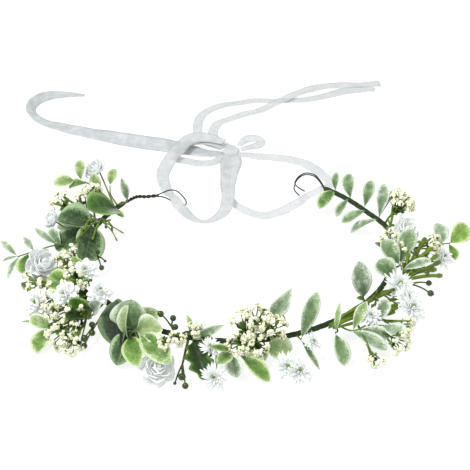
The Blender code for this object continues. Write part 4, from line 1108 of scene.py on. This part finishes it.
whorls, given = geometry_tree("petals in whorls", {
    "Count": "Int", "Turn": "Float", "Inner Tilt": "Float", "Outer Tilt": "Float", "Opening": "Float",
    "Inner Size": "Float", "Outer Size": "Float", "Seed": "Int", "Finish": "Material",
})
number = whorls.node("GeometryNodeInputIndex")
part = number / (given["Count"] - 1.0)
opened = part.maths("POWER", given["Opening"])
tilt = opened * (given["Outer Tilt"] - given["Inner Tilt"]) + given["Inner Tilt"]
tilt = tilt + chance(whorls, -TILT_CHANCE, TILT_CHANCE, given["Seed"])
turn = number * given["Turn"] + chance(whorls, -TURN_CHANCE, TURN_CHANCE, given["Seed"] + 1.0)
size = part * (given["Outer Size"] - given["Inner Size"]) + given["Inner Size"]
size = size * chance(whorls, *SIZE_CHANCE, given["Seed"] + 2.0)
roll = chance(whorls, -ROLL_CHANCE, ROLL_CHANCE, given["Seed"] + 3.0)
spin = whorls.node("ShaderNodeCombineXYZ", None, {"X": tilt, "Y": roll, "Z": turn})
spots = whorls.node("GeometryNodeMeshLine", None, {"Count": given["Count"], "Offset": (0.0, 0.0, 0.0)})
petals = whorls.node("GeometryNodeInstanceOnPoints", None, {
    "Points": spots, "Instance": given["Geometry"], "Scale": size,
    "Rotation": whorls.node("FunctionNodeEulerToRotation", None, {0: spin}),
})
petal_tone = chance(whorls, 0.0, 1.0, given["Seed"] + 4.0)
petals = stored(whorls, petals, "tone", petal_tone, {"domain": "INSTANCE"})
deliver(whorls, petals, given["Finish"])


def unit_mesh(bunch, name):
    """A bunch as a plain mesh in its own unit, for a geometry tree to repeat."""
    item = bunch.build(name)
    mesh = item.data
    bpy.data.objects.remove(item, do_unlink=True)
    mesh.transform(Matrix.Scale(1 / MM, 4))
    return mesh


def petal_mesh(name, seed, outline, width, **shape):
    bunch = Bunch()
    dice = random.Random(seed)
    blade(bunch, Matrix.Identity(4), outline, width, PETAL_THICKNESS, PETAL, PLAIN_TONE, dice, **shape)
    return unit_mesh(bunch, name)


ROSE_PETAL = petal_mesh("rose_petal", 3, (0.0, 0.82, 0.42, 0.55), 1.15, stations=9, bow=-0.16, curl=0.16)
ROSE_PETAL.transform(Matrix.Translation(ROSE_PETAL_OFFSET))


def upright_at(centre, axis, radius):
    matrix = axis.to_track_quat("Z", "Y").to_matrix().to_4x4() @ Matrix.Scale(radius, 4)
    matrix.translation = centre
    return matrix


def swelling(bunch, centre, axis, radius, form, look, tone, sides=SWELLING_SIDES):
    """A short round piece on a flower's axis."""
    start, step, shares = form
    points = [centre + axis * radius * (start + step * index) for index in range(len(shares))]
    bunch.tube(points, [radius * share for share in shares], sides, look, tone)


def flower_stem(bunch, bound_at, centre, axis, radius):
    calyx = centre - axis * radius * CALYX_DROP
    stops = [seat(bound_at), calyx - axis * STEM_RUN, calyx, centre - axis * radius * STEM_END]
    stem(bunch, smooth_path(stops, SPRIG_STEPS), tone=FLOWER_STEM_TONE)
    swelling(bunch, calyx, axis, radius, CALYX, STEM, CALYX_TONE)


def flower_head(bunch, petal, form, sink, seed, cloth, centre, axis, radius):
    """Petals in whorls, sunk a little below the flower's middle."""
    petals = grow(whorls, petal.copy(), {"Turn": GOLDEN_TURN, "Seed": seed, "Finish": cloth, **form})
    bunch.copy(petals, upright_at(centre - axis * radius * sink, axis, radius * HEAD_SPREAD), cloth)


for seed, (flower_name, bound_at, heads) in enumerate(ROSES):
    bunch = Bunch()
    cloth = SHADED_PETAL if flower_name in SHADED_FLOWERS else PETAL
    for spot, radius, look_to in heads:
        centre, axis = place(*spot), facing(*look_to)
        flower_stem(bunch, bound_at, centre, axis, radius)
        swelling(bunch, centre, axis, radius, ROSE_BUD, cloth, BUD_TONE)
        flower_head(bunch, ROSE_PETAL, ROSE_WHORLS, ROSE_SINK, seed, cloth, centre, axis, radius)
    dress(bunch, flower_name)


# Rayed flowers: soft white plastic petals, many and narrow, in a rounded head with a small green
# button in the middle, on a wired stem. The frilled ones have fewer, wider petals.

RAYED_FLOWERS = (
    ("daisy_left_inner", (-69, 90), (((-66.5, 4, 12), 7, (0, 60)),)),
    ("daisy_left_front", (-58, 130), (((-55, 3.5, 9), 7, (20, 55)),)),
    ("daisy_spray_left", (-60, 30), (((-59.5, 22.5, 8), 8, (-30, 50)),)),
    ("daisy_left_outer", (-65, -20), (((-63.5, 37, 2), 9.5, (-40, 45)),)),
    ("daisy_spray_front", (-7, 20), (((-8, 13, 6), 5.5, (0, 60)), ((-6, 29, -3), 7.5, (-10, 40)))),
    ("daisy_front_right", (15, -40), (((14, 22.5, -2.5), 8.2, (5, 50)), ((16.5, 27, -3.5), 8, (25, 50)))),
    ("daisy_small_front", (26, 10), (((24, 11, 2), 5.5, (20, 50)),)),
    ("daisy_spray_right", (62, 0), (
        ((65, 12, 6), 8.5, (30, 55)), ((58.5, 26, 2), 8.5, (30, 50)), ((60.5, 20.5, 5), 7, (20, 50)),
        ((45, 14, 6), 6, (0, 50)),
    )),
    ("daisy_right", (84, -20), (((85.5, 33, 2), 7, (50, 50)),)),
)
FRILLED = ("daisy_left_inner", "daisy_left_front", "daisy_spray_left", "daisy_left_outer")
BUTTON = (0.1, 0.08, (0.10, 0.12, 0.10, 0.05))
BUTTON_SIDES = 8
BUTTON_TONE = 0.9
RAY_SINK = 0.25
RAY_WHORLS = {
    "Count": 72, "Inner Tilt": 0.15, "Outer Tilt": 1.62, "Opening": 0.8,
    "Inner Size": 0.62, "Outer Size": 1.02,
}
FRILL_WHORLS = {**RAY_WHORLS, "Count": 46}
THIN_PETAL = petal_mesh(
    "thin_petal", 5, (0.0, 1.25, 0.75, 0.5), 0.19, stations=8, lanes=5, bow=-0.10, curl=0.06,
)
FRILLY_PETAL = petal_mesh(
    "frilly_petal", 8, (0.0, 1.75, 0.55, 0.6), 0.42, stations=8, lanes=7, bow=-0.12, curl=0.10,
)

for seed, (flower_name, bound_at, heads) in enumerate(RAYED_FLOWERS):
    bunch = Bunch()
    petal, form = (FRILLY_PETAL, FRILL_WHORLS) if flower_name in FRILLED else (THIN_PETAL, RAY_WHORLS)
    for spot, radius, look_to in heads:
        centre, axis = place(*spot), facing(*look_to)
        flower_stem(bunch, bound_at, centre, axis, radius)
        flower_head(bunch, petal, form, RAY_SINK, seed, PETAL, centre, axis, radius)
        swelling(bunch, centre, axis, radius, BUTTON, STEM, BUTTON_TONE, BUTTON_SIDES)
    dress(bunch, flower_name)


# Filler sprigs: clusters of tiny cream flowers like gypsophila, moulded in soft plastic, at the ends of fine
# branching olive stems, with small green bracts where they fork.

# A sprig is its name, seat and clusters: middle, spread and number of main branches
FILLER_SPRIGS = (
    ("filler_left_back", (-108, 20), (
        ((-110, 27, 10), 7, 8), ((-111.5, 15, 12), 6, 6), ((-114.5, 8, 18), 6, 7),
    )),
    ("filler_left_inner", (-73, 60), (
        ((-78, 8, 13), 4, 4), ((-71.5, 12, 13), 4.5, 5), ((-76.5, 14.5, 12), 3.5, 3), ((-62, 13.5, 12), 7, 9),
    )),
    ("filler_left_outer", (-71, -10), (
        ((-75, 34.5, 0), 6, 6), ((-66.5, 29.5, 5), 6.5, 7), ((-61.5, 32, 3), 4, 4),
    )),
    ("filler_left_front", (-58, 5), (
        ((-57.5, 34, 2), 4, 4), ((-55, 28, 3), 6, 7), ((-56, 17, 3), 4, 4), ((-51, 29.5, -2), 6, 7),
        ((-49.5, 40, -2), 8, 10), ((-45.5, 37.5, -3.5), 6, 7),
    )),
    ("filler_front_left", (-20, 60), (
        ((-19.5, 26.5, 15), 3.5, 4), ((-18.5, 9.5, 6), 3.5, 4), ((-14, 2.5, 8), 4, 5),
    )),
    ("filler_front", (4, 70), (
        ((2, 3.5, 15), 8, 9), ((7, 1.5, 18), 8, 9), ((12.5, 5.5, 12), 7.5, 9), ((0, 9, 4), 6.5, 8),
        ((6, 9.5, 4), 7, 9), ((5.5, 6.5, 10), 4, 5),
    )),
    ("filler_right_front", (45, -40), (
        ((45.5, 35.5, -3), 7, 8), ((36, 37, -4), 4.5, 4), ((52.5, 29, -3), 5, 6),
    )),
    ("filler_right_back", (108, 40), (((108.5, 16.5, 14), 8.5, 18),)),
    ("filler_right", (86, 60), (((86.5, -1, 13), 5.5, 7), ((81.5, 5, 12), 4, 5), ((86, 26, 11), 6, 8))),
)
DOME_SHARE = 0.75
DOME_HEIGHT = 0.6
FORK_DEPTH = 0.8
MAIN_RADIUS = 0.75
MAIN_STEPS = 5
BRANCH_RADIUS = 0.5
BRANCH_STEPS = 4
BRANCH_SPREAD = 0.9
BRANCH_ARCH = 0.8
BRACTS = 5
BRACT_LENGTH = 0.8
BRACT_WIDTH = 0.5
BRACT_RISE = 0.3
FLORETS_PER_BRANCH = 11
FLORET_RADIUS = 1.25
FLORET_RING = 2.4
FLORET_SIZES = (0.5, 1.3)
FLORET_REACHES = (0.3, 1.1)
OUTWARD_PULL = 0.9
STALK_RADIUS = 0.24
STALK_SINK = 0.3
# Main twigs and branches take the darker tones: their own olive colour, darkened further as painted shade in
# the gaps inside a cluster
DARK_TONES = (0.1, 0.7)
LIGHT_TONES = (0.2, 0.9)
# A floret of unit radius, from its foot to its throat: reach, height, share along and notch between petals
FLORET_PROFILE = (
    (0.22, -0.55, 0.0, 0.0), (0.55, -0.1, 0.5, 0.1), (1.0, 0.25, 1.0, 0.25), (0.42, 0.12, 0.5, 0.0),
)
FLORET_POLES = (Vector((0, 0, -0.65)), Vector((0, 0, 0.2)))
FLORET_SIDES = 10

FILLER, filler_tree = material("cream_filler", roughness=0.6, sheen_weight=0.2)
# Each floret is yellow-green at its foot and cream towards its rim: partly its green base, partly painted
# shade deep inside the cluster
filler_white = filler_tree.uv()["Y"].step(0.05, 0.5) * 0.85 + filler_tree.tone() * 0.3 - 0.05
filler_tree.paint(filler_white, ink(180, 196, 72), ink(254, 255, 226))
filler_tree.bump(filler_tree.noise(1500.0), strength=0.2, distance=0.0002)

floret = Bunch()
floret.turned(Matrix.Identity(4), FLORET_PROFILE, FLORET_SIDES, FILLER, FLORET_POLES)
FLORET = bpy.data.objects.new("floret", unit_mesh(floret, "floret"))

bloom, given = geometry_tree("florets on twigs", {
    "Floret": "Object", "Size": "Float", "Seed": "Int", "Finish": "Material",
})
aim = bloom.node("GeometryNodeInputNamedAttribute", {"data_type": "FLOAT_VECTOR"}, {"Name": "aim"})
florets = bloom.node("GeometryNodeInstanceOnPoints", None, {
    "Points": given["Geometry"],
    "Instance": bloom.node("GeometryNodeObjectInfo", None, {"Object": given["Floret"]})["Geometry"],
    "Rotation": bloom.node("FunctionNodeAlignRotationToVector", {"axis": "Z"}, {"Vector": aim}),
    "Scale": given["Size"] * chance(bloom, *FLORET_SIZES, given["Seed"]),
})
floret_tone = chance(bloom, 0.0, 1.0, given["Seed"] + 1.0)
florets = stored(bloom, florets, "tone", floret_tone, {"domain": "INSTANCE"})
deliver(bloom, florets, given["Finish"])

# Thick bare shoots among the filler: where they start, the size of their knobs, and their tips
BARE_SHOOTS = {
    "filler_right": ((69, 11.5, 5), 1.6, (
        (84.5, 20.5, 16), (79, 16, 14), (83, 25, 12), (80, 30.5, 6), (76, 32.5, 2), (77.5, 27.5, 4),
        (80, 22.5, 8), (75.5, 15, 10), (75, 19.5, 8), (77, 11.5, 13), (78, 28.5, 3), (81.5, 23, 10),
        (84, 18.5, 12), (83, 28.5, 6),
    )),
    "filler_right_front": ((33.5, 3, 1), 1.4, (
        (62.5, 10, 4), (57.5, 10.5, 1), (61.5, 16, 2), (54.5, 18, 0), (67, 10.5, 1), (49, 12.5, 1),
        (60.5, 17.5, -1), (58, 16.5, -2),
    )),
    "filler_right_back": ((101.5, 6, 5), 1.25, (
        (104.5, 15, 9), (110, 12.5, 8), (102.5, 19, 8), (100.5, 1.5, 5),
    )),
    "filler_left_front": ((-58, 14, -3), 1.0, (
        (-50, 22, -4), (-56, 38, -4), (-62, 27.5, -1), (-50.5, 33, -4),
    )),
    "filler_left_back": ((-101.5, -5.5, 12), 1.0, (
        (-106, 16, 14), (-110.5, 24, 14), (-81.5, 4.5, 16), (-88.5, -0.5, 17), (-86, -5.5, 12),
        (-104.5, -9, 3),
    )),
    "filler_left_inner": ((-104, -6, 10), 0.55, ((-95, -19.5, 3), (-101, -22, 4))),
    "filler_left_outer": ((-67, 20, 0), 1.4, ((-73.5, 35.5, 4), (-74, 40, 0), (-71, 38, 0))),
    "filler_front": ((3, 5.5, 4), 2.0, ((12.5, -1, 16), (16.5, 0, 14))),
}
SHOOT_SIDES = 9
SHOOT_STEPS = 6
# Moves: how far level, and the least and most upwards
START_DRIFT = (1.8,)
BEND_DRIFT = (2.0, 0.5, 2.5)
SIDE_DRIFT = (1.0, 0.2, 1.0)
# Thickness at the root, its growth from point to point, its limit, and the tip's, as shares of the knob
SHOOT_ROOT = 0.4
SHOOT_GROWTH = 0.1
SHOOT_LIMIT = 0.7
SHOOT_TIP = 0.8
SIDE_SHOOT_FORKS = (0.5, 0.7)
SIDE_SHOOT_LENGTH = 4.0
SIDE_SHOOT_RADII = (0.7, 0.6)
SIDE_SHOOT_TIP = 0.6
SIDE_SHOOT_SIDES = 8


def drift(dice, reach, *heights):
    """A small chance move, level unless it has limits for its height."""
    level = (dice.uniform(-reach, reach), dice.uniform(-reach, reach))
    return Vector((*level, dice.uniform(*heights) if heights else 0.0))


def bare_shoot(bunch, start, tip, knob, dice):
    """A thick twig that swells to a knob at its tip, with a short side shoot."""
    start = start + drift(dice, *START_DRIFT)
    bend = start.lerp(tip, 0.5) + drift(dice, *BEND_DRIFT)
    points = smooth_path([start, bend, tip], SHOOT_STEPS)
    shares = [min(SHOOT_ROOT + SHOOT_GROWTH * index, SHOOT_LIMIT) for index in range(len(points) - 2)]
    radii = [knob * share for share in (*shares, 1.0, SHOOT_TIP)]
    bunch.tube(points, radii, SHOOT_SIDES, STEM, dice.uniform(*LIGHT_TONES))
    fork = along(points, dice.uniform(*SIDE_SHOOT_FORKS))
    side = fork + drift(dice, *SIDE_DRIFT).normalized() * SIDE_SHOOT_LENGTH
    radii = [*SIDE_SHOOT_RADII, knob * SIDE_SHOOT_TIP]
    bunch.tube([fork, fork.lerp(side, 0.8), side], radii, SIDE_SHOOT_SIDES, STEM, dice.uniform(*LIGHT_TONES))


for seed, (filler_name, bound_at, clusters) in enumerate(FILLER_SPRIGS):
    dice = random.Random(filler_name)
    bunch = Bunch()
    start = seat(bound_at)
    blooms = []
    aims = []
    for middle, spread, count in clusters:
        centre = place(*middle)
        axis = (centre - start).normalized()
        across = axis.orthogonal().normalized()
        upright = axis.cross(across)
        fork = centre - axis * spread * FORK_DEPTH
        main_twig = smooth_path([start, start.lerp(fork, 0.5) + UP, fork], MAIN_STEPS)
        stem(bunch, main_twig, MAIN_RADIUS, dice.uniform(*DARK_TONES))
        for index in range(BRACTS):
            turn = math.tau * (index + dice.random()) / BRACTS
            spoke = across * math.cos(turn) + upright * math.sin(turn) + axis * BRACT_RISE
            tip = fork + spoke * spread * BRACT_LENGTH
            cloth = "deep" if index % 2 else "green"
            leaf(bunch, fork, tip, spread * BRACT_WIDTH, axis, cloth, "oval", dice)
        for index in range(count):
            height = 1 - DOME_SHARE * 2 * (index + 0.5) / count
            reach = math.sqrt(1 - height * height)
            turn = GOLDEN_TURN * index
            spoke = across * math.cos(turn) + upright * math.sin(turn)
            branch_end = centre + spread * BRANCH_SPREAD * (axis * height * DOME_HEIGHT + spoke * reach)
            root = start.lerp(fork, 1 - 0.5 * index / count)
            bend = root.lerp(branch_end, 0.6) + axis * BRANCH_ARCH
            branch = smooth_path([root, bend, branch_end], BRANCH_STEPS)
            stem(bunch, branch, BRANCH_RADIUS, dice.uniform(*DARK_TONES))
            for _ in range(FLORETS_PER_BRANCH):
                out = Vector([dice.gauss(0, 1) for _ in range(3)]).normalized()
                out = (out + (branch_end - fork).normalized() * OUTWARD_PULL).normalized()
                spot = branch_end + out * dice.uniform(*FLORET_REACHES) * FLORET_RING
                stem(bunch, [branch_end - axis * STALK_SINK, spot], STALK_RADIUS, dice.uniform(*LIGHT_TONES))
                blooms.append(spot * MM)
                aims.append(out)
    if filler_name in BARE_SHOOTS:
        shoot_start, knob, tips = BARE_SHOOTS[filler_name]
        for tip in tips:
            bare_shoot(bunch, place(*shoot_start), place(*tip), knob, dice)
    points = bpy.data.meshes.new(filler_name)
    points.from_pydata(blooms, [], [])
    aim_layer = points.attributes.new("aim", "FLOAT_VECTOR", "POINT")
    aim_layer.data.foreach_set("vector", np.array(aims, np.float32).ravel())
    values = {"Floret": FLORET, "Size": FLORET_RADIUS * MM, "Seed": seed, "Finish": FILLER}
    bunch.copy(grow(bloom, points, values), Matrix.Scale(1 / MM, 4), FILLER)
    dress(bunch, filler_name)
bpy.data.objects.remove(FLORET, do_unlink=True)


# Berry and bud twigs: glossy moulded berries with a small nub, on thin brown-green twigs whose ends are
# bound under the tape.

# A twig is its name, seat, fork and berries: place and radius
BERRY_TWIGS = (
    ("bud_twig_left", (-84, 160), (-81.5, -8, 4), (
        ((-76.5, -8, 12), 1.5), ((-72, -8.5, 5), 1.7), ((-76.5, -12, 5), 0.9),
    )),
    ("berry_twig_left", (-52.5, -40), (-48.5, 15, -4), (
        ((-47.5, 19, -1), 1.9), ((-46, 21.5, -4), 1.9), ((-45.5, 28, -4), 2.2), ((-45, 29.5, -8), 1.9),
    )),
    ("bud_twig_front_left", (-22, 95), (-23, 1, 6), (
        ((-26.5, 2.5, 14), 2.0), ((-22, 2, 13), 1.9), ((-21, 3, 8), 1.8),
    )),
    ("berry_twig_front", (-17, -40), (-16, 17, -6), (
        ((-14.5, 28, -6), 2.2), ((-13, 33, -8), 1.9), ((-16, 31, -9), 1.0),
    )),
    ("bud_twig_right", (70, -20), (70, 16, 1), (
        ((70, 27, 4), 1.8), ((68, 29.5, 0), 2.0),
    )),
)
# Reach and height up a berry of unit radius
BERRY_PROFILE = (
    (0.25, -0.98), (0.62, -0.78), (0.95, -0.3), (1.0, 0.1),
    (0.85, 0.55), (0.5, 0.88), (0.22, 0.97), (0.17, 1.15),
)
BERRY_SIDES = 14
TWIG_RADIUS = 0.9
TWIG_STEPS = 4
STALK_STEPS = 5
STALK_ARCH = 0.8
TWIG_TONE = 0.1

BERRY, berry_tree = material("berry_green", roughness=0.28, coat_weight=0.3)
berry_tree.paint(berry_tree.noise(320.0) * 0.9, ink(16, 30, 6), ink(70, 94, 26))
berry_tree.bump(berry_tree.noise(900.0), strength=0.12, distance=0.0003)

berry_rows = [(reach, height, 0.5 + height / 2, 0.0) for reach, height in BERRY_PROFILE]
for twig_name, bound_at, fork, berries in BERRY_TWIGS:
    bunch = Bunch()
    middle = place(*fork)
    stem(bunch, smooth_path([seat(bound_at), middle], TWIG_STEPS), TWIG_RADIUS, TWIG_TONE)
    for spot, radius in berries:
        centre = place(*spot)
        bend = middle.lerp(centre, 0.55) + UP * STALK_ARCH
        stem(bunch, smooth_path([middle, bend, centre], STALK_STEPS), tone=TWIG_TONE)
        matrix = upright_at(centre, (centre - middle).normalized(), radius)
        bunch.turned(matrix, berry_rows, BERRY_SIDES, BERRY)
    dress(bunch, twig_name)


# The table: white and plain, with soft light from all round, and the camera that looks down on it from the
# front. These sizes are in metres, and the lens and its film in millimetres.

TABLE_HALF = 6.0
TABLE_GREY = (0.27, 0.27, 0.27, 1.0)
TABLE_GLOW = 0.82
SKY_LIGHT = 0.55
AIM = Vector((-0.0013, 0.0181, 0.012))
CAMERA_DISTANCE = 0.9
CAMERA_RISE = math.radians(32.5)
CAMERA_NEAR = 0.01
LENS_LENGTH = 108.5
FILM_WIDTH = 36.0

floor_mesh = bpy.data.meshes.new("table")
corners = [(x * TABLE_HALF, y * TABLE_HALF, 0) for x, y in ((-1, -1), (1, -1), (1, 1), (-1, 1))]
floor_mesh.from_pydata(corners, [], [(0, 1, 2, 3)])
TABLE, _ = material(
    "white_table", roughness=0.9, base_color=TABLE_GREY, emission_color=WHITE, emission_strength=TABLE_GLOW,
)
floor_mesh.materials.append(TABLE)
floor = set_out("table", floor_mesh)

world = bpy.data.worlds.new("studio")
world.use_nodes = True
sky = world.node_tree.nodes["Background"]
sky.inputs["Color"].default_value = WHITE
sky.inputs["Strength"].default_value = SKY_LIGHT
bpy.context.scene.world = world
bpy.context.scene.view_settings.view_transform = "Standard"


def soft_light(name, offset, size, power):
    lamp = bpy.data.lights.new(name, "AREA")
    lamp.shape = "DISK"
    lamp.size = size
    lamp.energy = power
    item = set_out(name, lamp)
    item.location = AIM + Vector(offset)
    item.rotation_euler = (-Vector(offset)).to_track_quat("-Z", "Y").to_euler()


soft_light("key", offset=(-0.5, -0.3, 1.1), size=0.6, power=14.0)
soft_light("fill", offset=(0.9, -0.5, 0.8), size=0.9, power=3.5)

lens = bpy.data.cameras.new("camera")
lens.lens = LENS_LENGTH
lens.sensor_width = FILM_WIDTH
lens.clip_start = CAMERA_NEAR
camera = set_out("camera", lens)
camera.location = AIM + CAMERA_DISTANCE * Vector((0.0, -math.cos(CAMERA_RISE), math.sin(CAMERA_RISE)))
camera.rotation_euler = (math.pi / 2 - CAMERA_RISE, 0.0, 0.0)
bpy.context.scene.camera = camera
